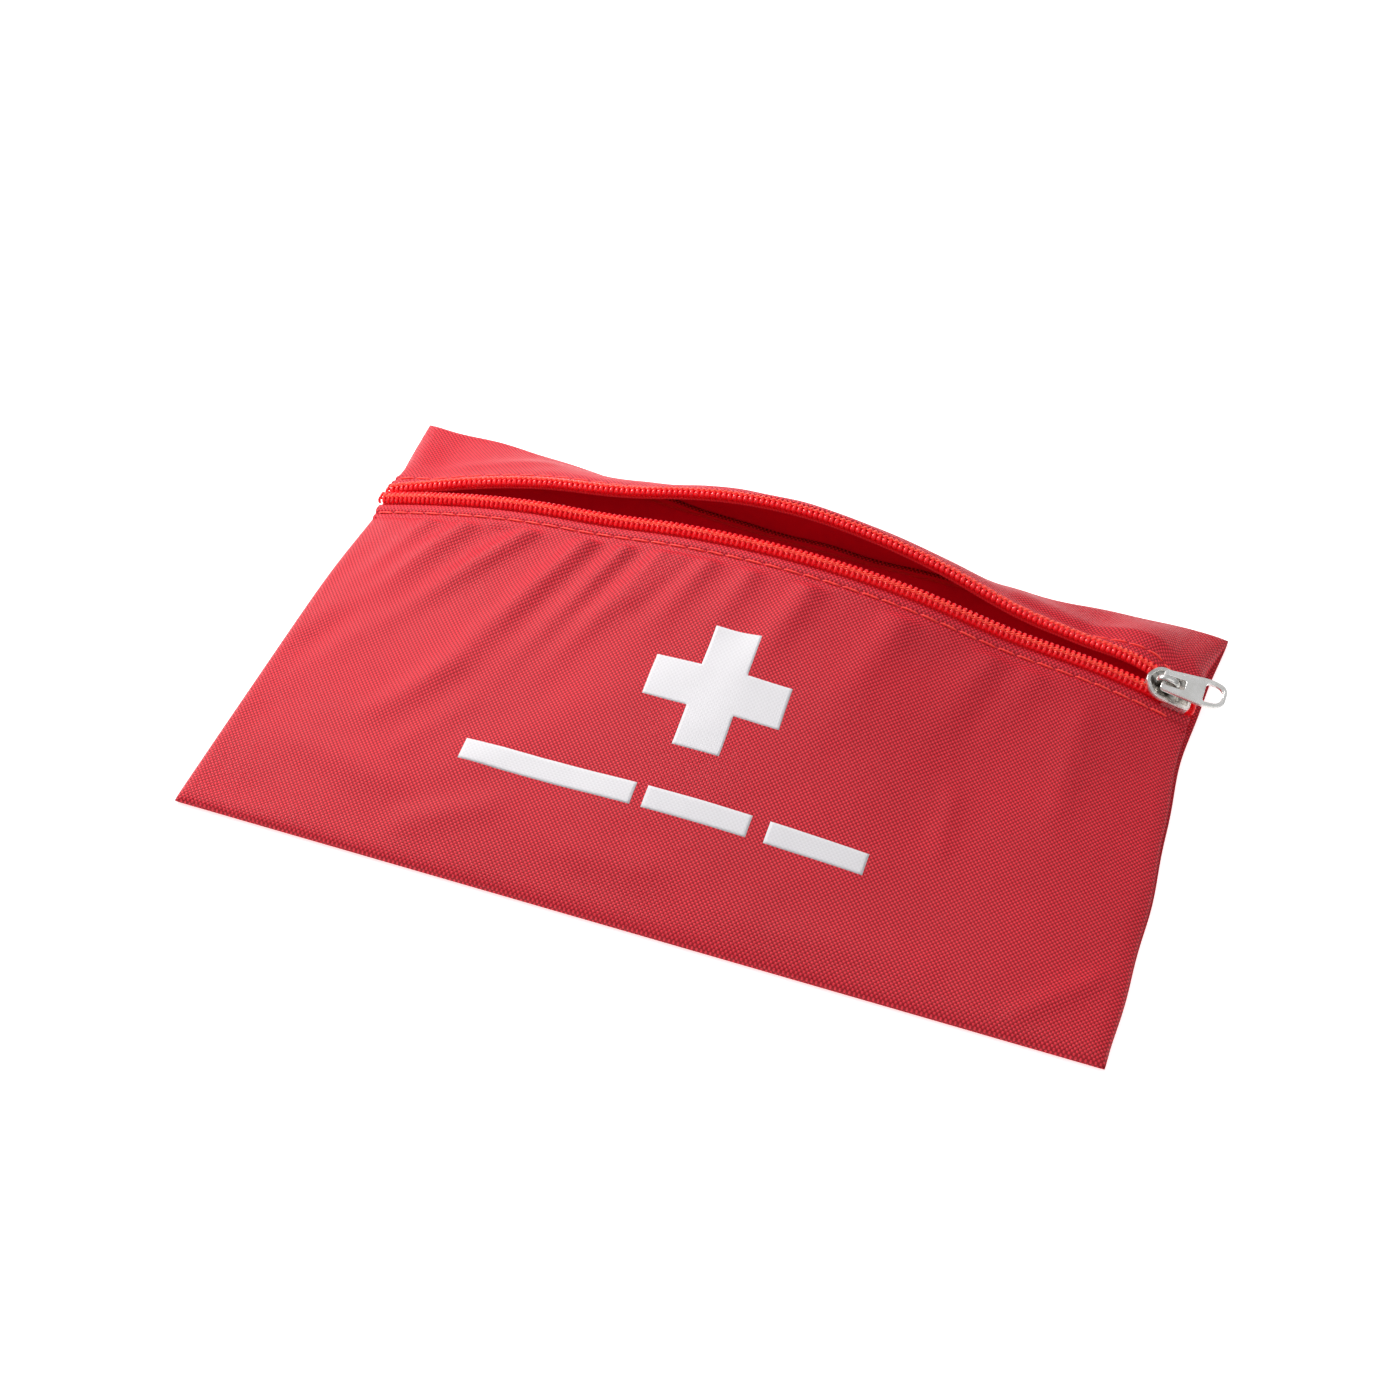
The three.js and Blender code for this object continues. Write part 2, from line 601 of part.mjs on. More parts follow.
function sliderBridge() {
  const { halfLength, height, bar, flatHalf, innerFlatHalf } = BRIDGE;
  const innerLength = halfLength - bar;
  const innerHeight = height - bar;
  const handle = halfLength - flatHalf;
  const innerHandle = (innerLength + innerFlatHalf) / 2;
  const arc = new THREE.Shape();
  arc.moveTo(-halfLength, 0);
  arc.bezierCurveTo(-halfLength, height, -handle, height, -flatHalf, height);
  arc.lineTo(flatHalf, height);
  arc.bezierCurveTo(handle, height, halfLength, height, halfLength, 0);
  arc.lineTo(innerLength, 0);
  arc.bezierCurveTo(innerLength, innerHeight, innerHandle, innerHeight, innerFlatHalf, innerHeight);
  arc.lineTo(-innerFlatHalf, innerHeight);
  arc.bezierCurveTo(-innerHandle, innerHeight, -innerLength, innerHeight, -innerLength, 0);
  const arch = slab(arc, -BRIDGE.width / 2, BRIDGE.width / 2);
  return arch.rotateX(QUARTER).translate(BRIDGE.x, 0, PLATE_TOP.top + BRIDGE.seat);
}

function pullTab() {
  const { barHalf, eyeHalf, endHalf, length, corner, shoulder } = PULL;
  const { from, to, half, middle, flatHalf } = PULL_WINDOW;
  const shape = new THREE.Shape();
  shape.moveTo(-barHalf, -eyeHalf + corner);
  shape.quadraticCurveTo(-barHalf, -eyeHalf, corner - barHalf, -eyeHalf);
  shape.lineTo(shoulder, -endHalf);
  shape.quadraticCurveTo(length, -endHalf, length, 0);
  shape.quadraticCurveTo(length, endHalf, shoulder, endHalf);
  shape.lineTo(corner - barHalf, eyeHalf);
  shape.quadraticCurveTo(-barHalf, eyeHalf, -barHalf, eyeHalf - corner);
  const eye = new THREE.Path();
  eye.moveTo(PULL_EYE.from, -PULL_EYE.half);
  eye.lineTo(PULL_EYE.to, -PULL_EYE.half);
  eye.lineTo(PULL_EYE.to, PULL_EYE.half);
  eye.lineTo(PULL_EYE.from, PULL_EYE.half);
  const window = new THREE.Path();
  window.moveTo(from, -flatHalf);
  window.quadraticCurveTo(from, -half, middle, -half);
  window.quadraticCurveTo(to, -half, to, 0);
  window.quadraticCurveTo(to, half, middle, half);
  window.quadraticCurveTo(from, half, from, flatHalf);
  shape.holes.push(eye, window);
  return slab(shape, -PULL.thick / 2, PULL.thick / 2, 5);
}

function addSlider() {
  const frame = lowerFrame(SLIDER_TURN / ARC_HALF_ANGLE);
  const slider = new THREE.Group();
  slider.position.copy(frame.origin);
  slider.quaternion.setFromRotationMatrix(
    new THREE.Matrix4().makeBasis(frame.along, frame.across, frame.up));
  addPart(slider, 'slider_body', sliderBody(), NICKEL);
  addPart(slider, 'slider_bridge', sliderBridge(), NICKEL);
  const pull = addPart(slider, 'pull_tab', pullTab(), NICKEL);
  pull.position.set(PULL_AXIS.x, 0, PULL_AXIS.z);
  pull.rotation.y = -PULL_TILT;
  pouch.add(slider);
}

addPart(pouch, 'back_panel', backPanel(), FABRIC_RED);
addPart(pouch, 'front_panel', clothPanel(frontLine), FABRIC_RED);
addPart(pouch, 'top_strip', clothPanel(stripLine), FABRIC_RED);
addHalfChain('lower', lowerFrame, -1);
addHalfChain('upper', upperFrame, 1);
addSeamThreads();
addPrint();
addSlider();

export default pouch;
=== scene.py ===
"""A flat red zip pouch for first aid supplies, lying open on a pale table. Lengths are in millimetres unless
a comment says otherwise, and turn into metres when a mesh is made."""
import math

import bpy
import numpy as np
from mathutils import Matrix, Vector
from mathutils.geometry import tessellate_polygon


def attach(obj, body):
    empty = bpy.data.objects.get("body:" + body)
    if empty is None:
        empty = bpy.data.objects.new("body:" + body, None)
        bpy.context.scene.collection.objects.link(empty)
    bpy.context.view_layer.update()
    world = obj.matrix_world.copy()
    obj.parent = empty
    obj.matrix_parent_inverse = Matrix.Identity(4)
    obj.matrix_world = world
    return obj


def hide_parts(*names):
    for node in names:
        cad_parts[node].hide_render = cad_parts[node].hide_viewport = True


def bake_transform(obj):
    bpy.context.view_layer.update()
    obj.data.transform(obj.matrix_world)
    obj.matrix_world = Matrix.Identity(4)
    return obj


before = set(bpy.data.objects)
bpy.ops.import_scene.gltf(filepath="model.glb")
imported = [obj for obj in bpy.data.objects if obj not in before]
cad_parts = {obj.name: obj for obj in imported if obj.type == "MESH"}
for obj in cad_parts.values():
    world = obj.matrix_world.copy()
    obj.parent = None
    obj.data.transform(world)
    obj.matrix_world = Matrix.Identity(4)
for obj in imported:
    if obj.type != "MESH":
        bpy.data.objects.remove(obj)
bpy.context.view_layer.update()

MM = 0.001
TAU = 2 * math.pi
QUARTER = math.pi / 2

# Pouch and cloth, as in the CAD model
HALF_WIDTH = 120.5
HALF_HEIGHT = 75.0
FLAT_HALF_WIDTH = 120.0
CLOTH = 0.4
SEAM_Z = 0.6
# Cells of the grid at the edges of a sheet that keep the outer cloth on its inner face
LINING_MARGIN = 1
WARP_PITCH = 0.59
WEFT_PITCH = 0.64

# Edges seen from above: place and slope, then where, how widely and how far the cloth is drawn in
LEFT_X = -120.2
RIGHT_X = 120.1
SIDE_LEAN = 0.013
LEFT_WAIST = (41, 22, 2.0)
RIGHT_WAIST = (26, 34, 3.2)
BOTTOM_Y = -75.5
BOTTOM_SLOPE = 0.01
TOP_Y = 73.8
TOP_SLOPE = 0.0187
TOP_DRAWN_X = 12
TOP_DRAWN = 5.2
# Small waves on the edges: height, length over 2 pi, start
RIGHT_WAVE = (0.2, 5.0, 0.0)
TOP_LONG_WAVE = (0.3, 7.3, 1.0)
TOP_SHORT_WAVE = (0.25, 4.1, 0.0)

# Zip arcs, as in the CAD model
CHORD_HALF = 117.0
CHORD_X = -1.0
CHORD_Y = 41.8
CHORD_Z = 4.0
SAGITTA = 22.8
LOWER_PLANE = math.radians(99)
UPPER_PLANE = math.radians(66)
ARC_RADIUS = (CHORD_HALF**2 + SAGITTA**2) / (2 * SAGITTA)
ARC_HALF_ANGLE = math.asin(CHORD_HALF / ARC_RADIUS)
ARC_HALF_LENGTH = ARC_HALF_ANGLE * ARC_RADIUS
MEETING_X = 107.7
SPREAD_SLOPE = 0.6
TAPE_DROP_LEFT = math.radians(-13)
TAPE_DROP_MOUTH = math.radians(-27)
# Share of the arc's half that the zip covers, and the shares where a change starts and how long it lasts
CHAIN_REACH = 0.997
OVER_MOUTH = (-0.85, 0.8)
INTO_SLIDER = (0.7, 0.18)
INTO_LEFT_SEAM = (0.88, 0.1)
# Where the cloth pulls the zip off its arc: x, width, how far down
SAGS = [(66, 20, 2.8), (-48, 18, 1.6), (8, 28, -0.9)]
# The open upper half arches a little higher than the lower one, and its hem stands clear of the coil
UPPER_PEAK_X = -6
UPPER_PEAK_WIDTH = 36
UPPER_PEAK = 2.0
HEM_STANDS_X = 5
HEM_STANDS_WIDTH = 48
HEM_STANDS = 1.5

# Half chain: a runs across the tape from the line where the teeth meet, b is up
COIL_PITCH = 1.52
FILAMENT = 0.40
CORD_A = 1.75
CORD_B = -0.02
CORD_RADIUS = 0.36
# Two strands over the coil: a, and how far each one swings
STRANDS = ((1.45, 0.16), (1.98, -0.16))
STRAND_B = 1.06
STRAND_RADIUS = 0.22
TAPE_B = -1.62
TAPE_THICK = 0.36
TAPE_EDGES = (0.75, 7.6)
TAPE_FLAT_HALF = 121.0
HEM_TOP_B = -0.72
HEM_UNDER_B = -1.2
HEM_EDGE = 4.2
HEM_END = 8.5
STITCH_A = 6.7
STITCH_PITCH = 5.4
STITCH_GAP = 0.8
STITCH_RADIUS = 0.29
STITCH_SLANT = 0.18
STITCH_SUNK = 0.22
STITCH_RISE = 0.30

# Slider: x runs along the chain towards the tail, y across it, z outwards
SLIDER_ORIGIN = (107.818, 41.3023, 7.1422)
SLIDER_ALONG = (0.93704, 0.05463, -0.34493)
SLIDER_ACROSS = (0.0, 0.98769, 0.15643)
PLATE_TOP = (1.45, 2.45)
PLATE_BOTTOM = (-3.25, -2.25)
BRIDGE_X = -1.4
BRIDGE_HALF = 2.9
BRIDGE_HEIGHT = 3.4
BRIDGE_ROUND = 0.75
BRIDGE_RADIUS = 0.5
BRIDGE_WIDENED = 1.85
RIM_WIDTH = 1.0
RIM_HEIGHT = 0.32
PULL_AXIS = (-2.6, 4.1)
PULL_TILT = math.radians(15)
PULL_THICK = 1.0
BORDER_WIDTH = 0.65
BORDER_GAP = 0.15
BORDER_HEIGHT = 0.14
# Outlines as x, y and how far from the corner its rounding starts. The body and the pull are upper halves.
BODY_CORNERS = [(6.4, 4.2, 0.9), (0.2, 4.95, 3.0), (-4.6, 4.7, 2.4), (-6.9, 0.9, 0.8)]
FLANGE_CORNERS = [(-0.6, 4.75, 0.2), (-0.6, 3.95, 0.2), (6.0, 3.62, 0.2), (6.2, 4.25, 0.2)]
POST_CORNERS = [(-5.9, 0.03, 0.3), (-4.4, 0.03, 0.3), (-4.4, 1.2, 0.3), (-5.9, 1.2, 0.3)]
PULL_CORNERS = [(16.4, 3.3, 2.4), (11.8, 4.4, 2.0), (-0.6, 3.2, 1.0)]
EYE_CORNERS = [(0.6, -1.5, 0.6), (0.6, 1.5, 0.6), (5.5, 1.5, 0.6), (5.5, -1.5, 0.6)]
WINDOW_CORNERS = [(10.6, -2.9, 1.0), (10.6, 2.9, 1.0), (15.3, 2.5, 2.4), (15.3, -2.5, 2.4)]

# Print, by its place on the cloth as seen from above
CROSS_X = 1.6
CROSS_Y = -8.3
CROSS_ARM = 12.5
CROSS_SPAN = 36.7
BAR_Y = -41.9
BAR_HALF_HEIGHT = 3.1
BARS = (("left", -55.5, -9.0), ("middle", -6.0, 21.4), ("right", 26.0, 51.5))
PRINT_CELL = 0.9
INK_LIFT = 0.035
INK_THICK = 0.05

# Camera, in metres and radians
CAMERA_AZIMUTH = math.radians(20.2)
CAMERA_ELEVATION = math.radians(48.0)
CAMERA_DISTANCE = 0.661
CAMERA_TARGET = (-0.00776, 0.00234, 0.0)
CAMERA_LENS = 64.3
CAMERA_SENSOR = 36.0


# ------ small maths

def smooth(t):
    s = np.clip(t, 0.0, 1.0)
    return s * s * (3 - 2 * s)


def mix(a, b, t):
    return a + (b - a) * t


def unit(v):
    return v / np.maximum(np.linalg.norm(v, axis=-1, keepdims=True), 1e-12)


def bell(x, centre, width, height):
    return height * np.exp(-(((x - centre) / width) ** 2))


def ripple(x, height, length, start):
    return height * np.sin(x / length + start)


def left_edge(y):
    return LEFT_X + SIDE_LEAN * y + bell(y, *LEFT_WAIST)


def right_edge(y):
    return RIGHT_X - SIDE_LEAN * y - bell(y, *RIGHT_WAIST) + ripple(y, *RIGHT_WAVE)


def bottom_edge(x):
    return BOTTOM_Y + BOTTOM_SLOPE * x


def top_edge(x):
    drawn = TOP_DRAWN * np.maximum(0, 1 - ((x - TOP_DRAWN_X) / HALF_WIDTH) ** 2) ** 2
    return TOP_Y - TOP_SLOPE * x - drawn + ripple(x, *TOP_LONG_WAVE) + ripple(x, *TOP_SHORT_WAVE)


def distance_from_side(x, y):
    return np.minimum(x - left_edge(y), right_edge(y) - x)


def across_pouch(u, y):
    return mix(left_edge(y), right_edge(y), (u + 1) / 2)


def soft_noise(x, y, cell, seed):
    """Smooth values from -1 to 1 on a grid of the given cell size."""
    table = np.random.default_rng(seed).uniform(-1, 1, (64, 64))
    gx, gy = x / cell + 200.0, y / cell + 200.0
    ix, iy = np.floor(gx).astype(int), np.floor(gy).astype(int)
    fx, fy = smooth(gx - ix), smooth(gy - iy)
    ix, iy, jx, jy = ix % 64, iy % 64, (ix + 1) % 64, (iy + 1) % 64
    low = mix(table[ix, iy], table[jx, iy], fx)
    high = mix(table[ix, jy], table[jx, jy], fx)
    return mix(low, high, fy)


# ------ frames on the zip

def chain_frame(u, plane, tape, peak=0.0):
    """Origin, along, across and up at u, from -1 at the left side seam to 1 at the right one."""
    u = np.asarray(u, float)
    tape = np.broadcast_to(tape, u.shape)
    turn = u * ARC_HALF_ANGLE
    rise = np.array([0.0, math.cos(plane), math.sin(plane)])
    side = np.array([1.0, 0.0, 0.0])
    origin = np.array([CHORD_X, CHORD_Y, CHORD_Z]) + np.multiply.outer(ARC_RADIUS * np.sin(turn), side)
    x = origin[..., 0]
    sag = sum(bell(x, *each) for each in SAGS)
    lift = ARC_RADIUS * (np.cos(turn) - 1) + SAGITTA - sag + bell(x, UPPER_PEAK_X, UPPER_PEAK_WIDTH, peak)
    origin = origin + np.multiply.outer(lift, rise)
    along = np.multiply.outer(np.cos(turn), side) - np.multiply.outer(np.sin(turn), rise)
    across = np.stack([np.zeros_like(tape), np.cos(tape), np.sin(tape)], axis=-1)
    up = unit(np.cross(along, across))
    return origin, along, across, up


def lower_frame(u):
    return chain_frame(u, LOWER_PLANE, LOWER_PLANE - QUARTER)


def upper_frame(u):
    u = np.asarray(u, float)
    over_mouth, into_slider, into_seam = (
        smooth((at - start) / length)
        for at, (start, length) in ((u, OVER_MOUTH), (u, INTO_SLIDER), (-u, INTO_LEFT_SEAM)))
    flat = mix(mix(TAPE_DROP_LEFT, TAPE_DROP_MOUTH, over_mouth), LOWER_PLANE - QUARTER, into_slider)
    tape = mix(flat, 0.0, into_seam)
    origin, along, across, up = chain_frame(u, UPPER_PLANE, tape, UPPER_PEAK)
    beside, _, beside_across, _ = lower_frame(u)
    apart = np.linalg.norm(origin - beside, axis=-1)
    apart = np.minimum(apart, np.maximum(0, (MEETING_X - beside[..., 0]) * SPREAD_SLOPE))
    in_slider = beside + beside_across * apart[..., None]
    origin = mix(origin, in_slider, into_slider[..., None])
    return origin, along, across, up


def place(chain, a, b):
    """Points at a and b in the frames of a chain."""
    origin, _, across, up = chain
    return origin + across * np.asarray(a, float)[..., None] + up * np.asarray(b, float)[..., None]


# ------ meshes

def new_mesh(name, points, faces, uv=None):
    mesh = bpy.data.meshes.new(name)
    mesh.from_pydata((np.asarray(points, float) * MM).tolist(), [], faces)
    mesh.validate()
    mesh.update()
    mesh.polygons.foreach_set("use_smooth", [True] * len(mesh.polygons))
    if uv is not None:
        layer = mesh.uv_layers.new(name="cloth")
        corners = np.empty(len(mesh.loops), np.int32)
        mesh.loops.foreach_get("vertex_index", corners)
        layer.data.foreach_set("uv", np.asarray(uv, np.float32)[corners].ravel())
    piece = bpy.data.objects.new(name, mesh)
    bpy.context.scene.collection.objects.link(piece)
    return piece


def grid_normals(grid):
    du = np.gradient(grid, axis=0)
    dv = np.gradient(grid, axis=1)
    return unit(np.cross(du, dv))


def grid_faces(rows, columns, offset, flip):
    i, j = np.meshgrid(np.arange(rows - 1), np.arange(columns - 1), indexing="ij")
    a = offset + i * columns + j
    quads = np.stack([a, a + columns, a + columns + 1, a + 1], axis=-1).reshape(-1, 4)
    return quads[:, ::-1] if flip else quads


def shell(name, grid, uv, thickness, face_sign):
    """A thin closed sheet round a grid of points, outer faces first. uv is in millimetres of flat cloth, and
    face_sign is -1 where the grid's own normals point inwards."""
    rows, columns = grid.shape[:2]
    normal = grid_normals(grid) * face_sign
    outer = grid + normal * thickness / 2
    inner = grid - normal * thickness / 2
    count = rows * columns
    flip = face_sign < 0
    faces = [grid_faces(rows, columns, 0, flip), grid_faces(rows, columns, count, not flip)]
    index = np.arange(count).reshape(rows, columns)
    rim = np.concatenate([index[:, 0], index[-1, 1:], index[-2::-1, -1], index[0, -2:0:-1]])
    after = np.roll(rim, -1)
    wall = np.stack([rim, after, after + count, rim + count], axis=-1)
    faces.append(wall[:, ::-1] if not flip else wall)
    points = np.concatenate([outer.reshape(-1, 3), inner.reshape(-1, 3)])
    uvs = np.concatenate([uv.reshape(-1, 2), uv.reshape(-1, 2)])
    return new_mesh(name, points, np.concatenate(faces).tolist(), uvs)


def line_inside(piece, cells, inside_first, cloth, lining):
    """Gives a sheet its cloth, and the lining on the face that looks into the pouch. cells is the shape of
    its grid, and inside_first says that the faces made first are the ones that look in."""
    piece.data.materials.append(cloth)
    piece.data.materials.append(lining)
    rows, columns = cells[0] - 1, cells[1] - 1
    inside = np.zeros((rows, columns), np.int32)
    inside[LINING_MARGIN:-LINING_MARGIN, LINING_MARGIN:-LINING_MARGIN] = 1
    index = np.zeros(len(piece.data.polygons), np.int32)
    start = 0 if inside_first else rows * columns
    index[start:start + rows * columns] = inside.ravel()
    piece.data.polygons.foreach_set("material_index", index)


def tube(path, radii, sides, squash_axis=None, squash=None):
    """Points and faces of a closed tube along a path, with its own radius at each point. It is squash times
    as wide along squash_axis."""
    path = np.asarray(path, float)
    radii = np.broadcast_to(np.asarray(radii, float), len(path))
    tangent = unit(np.gradient(path, axis=0))
    normal = np.cross(tangent[0], [0.0, 0.0, 1.0])
    if np.linalg.norm(normal) < 0.1:
        normal = np.cross(tangent[0], [0.0, 1.0, 0.0])
    normals = []
    for t in tangent:
        normal = normal - t * np.dot(normal, t)
        normal = normal / np.linalg.norm(normal)
        normals.append(normal)
    normals = np.array(normals)
    binormals = np.cross(tangent, normals)
    angle = np.arange(sides) * TAU / sides
    ring = (np.cos(angle)[None, :, None] * normals[:, None, :]
            + np.sin(angle)[None, :, None] * binormals[:, None, :]) * radii[:, None, None]
    if squash_axis is not None:
        wide = np.einsum("ijk,ik->ij", ring, squash_axis)
        ring = ring + (wide * (np.asarray(squash) - 1)[:, None])[..., None] * squash_axis[:, None, :]
    points = (path[:, None, :] + ring).reshape(-1, 3)
    count = len(path)
    faces = []
    for i in range(count - 1):
        for k in range(sides):
            a, b = i * sides + k, i * sides + (k + 1) % sides
            faces.append((a, b, b + sides, a + sides))
    faces.append(tuple(range(sides - 1, -1, -1)))
    faces.append(tuple(range((count - 1) * sides, count * sides)))
    return points, faces


def joined(parts):
    points, faces, start = [], [], 0
    for part_points, part_faces in parts:
        points.append(part_points)
        faces.extend(tuple(v + start for v in face) for face in part_faces)
        start += len(part_points)
    return np.concatenate(points), faces


# ------ materials

def new_material(name):
    material = bpy.data.materials.new(name)
    material.use_nodes = True
    nodes = material.node_tree.nodes
    return material, nodes, material.node_tree.links, nodes["Principled BSDF"]


def math_node(nodes, links, operation, a, b=None):
    node = nodes.new("ShaderNodeMath")
    node.operation = operation
    for slot, value in zip(node.inputs, (a, b)):
        if value is None:
            continue
        if isinstance(value, (int, float)):
            slot.default_value = value
        else:
            links.new(value, slot)
    return node.outputs[0]


def cloth_coordinates(nodes, links):
    """Flat cloth coordinates in millimetres."""
    source = nodes.new("ShaderNodeUVMap")
    source.uv_map = "cloth"
    split = nodes.new("ShaderNodeSeparateXYZ")
    links.new(source.outputs[0], split.inputs[0])
    return source.outputs[0], split.outputs[0], split.outputs[1]


def noise(nodes, links, vector, scale, detail=3.0, roughness=0.5):
    node = nodes.new("ShaderNodeTexNoise")
    node.inputs["Scale"].default_value = scale
    node.inputs["Detail"].default_value = detail
    node.inputs["Roughness"].default_value = roughness
    links.new(vector, node.inputs["Vector"])
    return node.outputs["Fac"]


def ramp(nodes, links, value, stops):
    node = nodes.new("ShaderNodeValToRGB")
    elements = node.color_ramp.elements
    while len(elements) < len(stops):
        elements.new(0.5)
    for element, (position, colour) in zip(elements, stops):
        element.position = position
        element.color = (*colour, 1.0)
    links.new(value, node.inputs[0])
    return node.outputs[0]


def mix_colour(nodes, links, factor, a, b, blend="MIX"):
    node = nodes.new("ShaderNodeMix")
    node.data_type = "RGBA"
    node.blend_type = blend
    for slot, value in ((node.inputs[0], factor), (node.inputs[6], a), (node.inputs[7], b)):
        if isinstance(value, (int, float)):
            slot.default_value = value
        elif isinstance(value, tuple):
            slot.default_value = (*value, 1.0)
        else:
            links.new(value, slot)
    return node.outputs[2]


def bump(nodes, links, height, strength, distance):
    node = nodes.new("ShaderNodeBump")
    node.inputs["Strength"].default_value = strength
    node.inputs["Distance"].default_value = distance
    links.new(height, node.inputs["Height"])
    return node.outputs[0]


def weave_height(nodes, links, u, v, warp, weft):
    """A plain weave: pillows on a checkerboard. Gives the pillow height and which thread is on top."""
    across = math_node(nodes, links, "SINE", math_node(nodes, links, "MULTIPLY", u, math.pi / warp))
    along = math_node(nodes, links, "SINE", math_node(nodes, links, "MULTIPLY", v, math.pi / weft))
    checks = math_node(nodes, links, "MULTIPLY", across, along)
    pillow = math_node(nodes, links, "POWER", math_node(nodes, links, "ABSOLUTE", checks), 0.55)
    on_top = math_node(nodes, links, "MULTIPLY_ADD", checks, 1.6)
    on_top.node.inputs[2].default_value = 0.5
    on_top.node.use_clamp = True
    return pillow, on_top


def glow(shader, colour, strength):
    """A faint glow that stands for the light coming through thin red nylon."""
    shader.inputs["Emission Color"].default_value = (*colour, 1.0)
    shader.inputs["Emission Strength"].default_value = strength


def oxford_cloth(name, light, dark):
    material, nodes, links, shader = new_material(name)
    vector, u, v = cloth_coordinates(nodes, links)
    pillow, on_top = weave_height(nodes, links, u, v, WARP_PITCH, WEFT_PITCH)
    thread = mix_colour(nodes, links, on_top, dark, light)
    # Painted shade: the cloth is darker in the gaps between its threads, where the pillows are low.
    painted_gap_shade = ramp(nodes, links, pillow, [(0.0, (0.5, 0.4, 0.45)), (0.5, (1.0, 1.0, 1.0))])
    thread = mix_colour(nodes, links, 1.0, thread, painted_gap_shade, "MULTIPLY")
    cloudy = noise(nodes, links, vector, 0.035, 4.0, 0.55)
    shade = ramp(nodes, links, cloudy, [(0.3, (0.93, 0.9, 0.9)), (0.7, (1.0, 1.0, 1.0))])
    thread = mix_colour(nodes, links, 1.0, thread, shade, "MULTIPLY")
    links.new(thread, shader.inputs["Base Color"])
    fibres = noise(nodes, links, vector, 3.0, 2.0)
    height = math_node(nodes, links, "ADD", pillow, math_node(nodes, links, "MULTIPLY", fibres, 0.35))
    links.new(bump(nodes, links, height, 0.8, 0.00013), shader.inputs["Normal"])
    rough = ramp(nodes, links, cloudy, [(0.2, (0.46, 0.46, 0.46)), (0.8, (0.56, 0.56, 0.56))])
    links.new(rough, shader.inputs["Roughness"])
    shader.inputs["Specular IOR Level"].default_value = 0.28
    return material


def coated_lining():
    """The smooth coated inside of the cloth."""
    material, nodes, links, shader = new_material("lining")
    vector, u, v = cloth_coordinates(nodes, links)
    cloudy = noise(nodes, links, vector, 0.05, 3.0)
    links.new(ramp(nodes, links, cloudy, [(0.3, (0.60, 0.002, 0.012)), (0.7, (0.74, 0.003, 0.016))]),
              shader.inputs["Base Color"])
    pillow, _ = weave_height(nodes, links, u, v, WARP_PITCH, WEFT_PITCH)
    links.new(bump(nodes, links, pillow, 0.25, 0.00006), shader.inputs["Normal"])
    shader.inputs["Roughness"].default_value = 0.5
    shader.inputs["Specular IOR Level"].default_value = 0.3
    glow(shader, (1.0, 0.0, 0.03), 0.045)
    return material


def tape_cloth():
    material, nodes, links, shader = new_material("tape")
    _, u, v = cloth_coordinates(nodes, links)
    pillow, on_top = weave_height(nodes, links, u, v, 0.42, 0.9)
    colour = mix_colour(nodes, links, on_top, (0.50, 0.004, 0.010), (0.74, 0.014, 0.022))
    links.new(colour, shader.inputs["Base Color"])
    links.new(bump(nodes, links, pillow, 0.8, 0.00012), shader.inputs["Normal"])
    shader.inputs["Roughness"].default_value = 0.75
    glow(shader, (1.0, 0.0, 0.01), 0.1)
    return material


def object_noise(nodes, links, scale, detail=3.0):
    source = nodes.new("ShaderNodeTexCoord")
    return noise(nodes, links, source.outputs["Object"], scale, detail)


def monofilament():
    material, nodes, links, shader = new_material("coil")
    spread = object_noise(nodes, links, 220.0)
    colour = ramp(nodes, links, spread, [(0.3, (0.86, 0.012, 0.020)), (0.7, (0.96, 0.030, 0.034))])
    links.new(colour, shader.inputs["Base Color"])
    shader.inputs["Roughness"].default_value = 0.22
    shader.inputs["Subsurface Weight"].default_value = 0.15
    shader.inputs["Subsurface Radius"].default_value = (0.6, 0.1, 0.1)
    shader.inputs["Subsurface Scale"].default_value = 0.0006
    glow(shader, (1.0, 0.0, 0.01), 0.13)
    scratches = object_noise(nodes, links, 1500.0, 2.0)
    links.new(bump(nodes, links, scratches, 0.15, 0.00005), shader.inputs["Normal"])
    return material


def sewing_thread(name, dark, light, strength=0.12):
    """Spun polyester. strength is that of its glow."""
    material, nodes, links, shader = new_material(name)
    spread = object_noise(nodes, links, 900.0, 2.0)
    links.new(ramp(nodes, links, spread, [(0.3, dark), (0.7, light)]), shader.inputs["Base Color"])
    fibres = object_noise(nodes, links, 4000.0, 2.0)
    links.new(bump(nodes, links, fibres, 0.6, 0.0001), shader.inputs["Normal"])
    shader.inputs["Roughness"].default_value = 0.55
    shader.inputs["Sheen Weight"].default_value = 0.2
    glow(shader, (1.0, 0.01, 0.01), strength)
    return material


def nickel(name, dull, bright, spread, metallic):
    """Plated metal with soft blotches; on the dark nickel of the slider's sunk face they are painted
    reflections. spread is how many blotches there are to the metre.
    """
    material, nodes, links, shader = new_material(name)
    blotch_and_painted_reflection = object_noise(nodes, links, spread, 4.0)
    # Blotches in the colour; on the dark nickel of the slider's sunk face these are painted reflections.
    links.new(ramp(nodes, links, blotch_and_painted_reflection, [(0.4, dull), (0.6, bright)]), shader.inputs["Base Color"])
    links.new(ramp(nodes, links, blotch_and_painted_reflection, [(0.3, (0.18, 0.18, 0.18)), (0.75, (0.3, 0.3, 0.3))]),
              shader.inputs["Roughness"])
    ripple = object_noise(nodes, links, 700.0, 3.0)
    links.new(bump(nodes, links, ripple, 0.02, 0.0001), shader.inputs["Normal"])
    shader.inputs["Metallic"].default_value = metallic
    return material


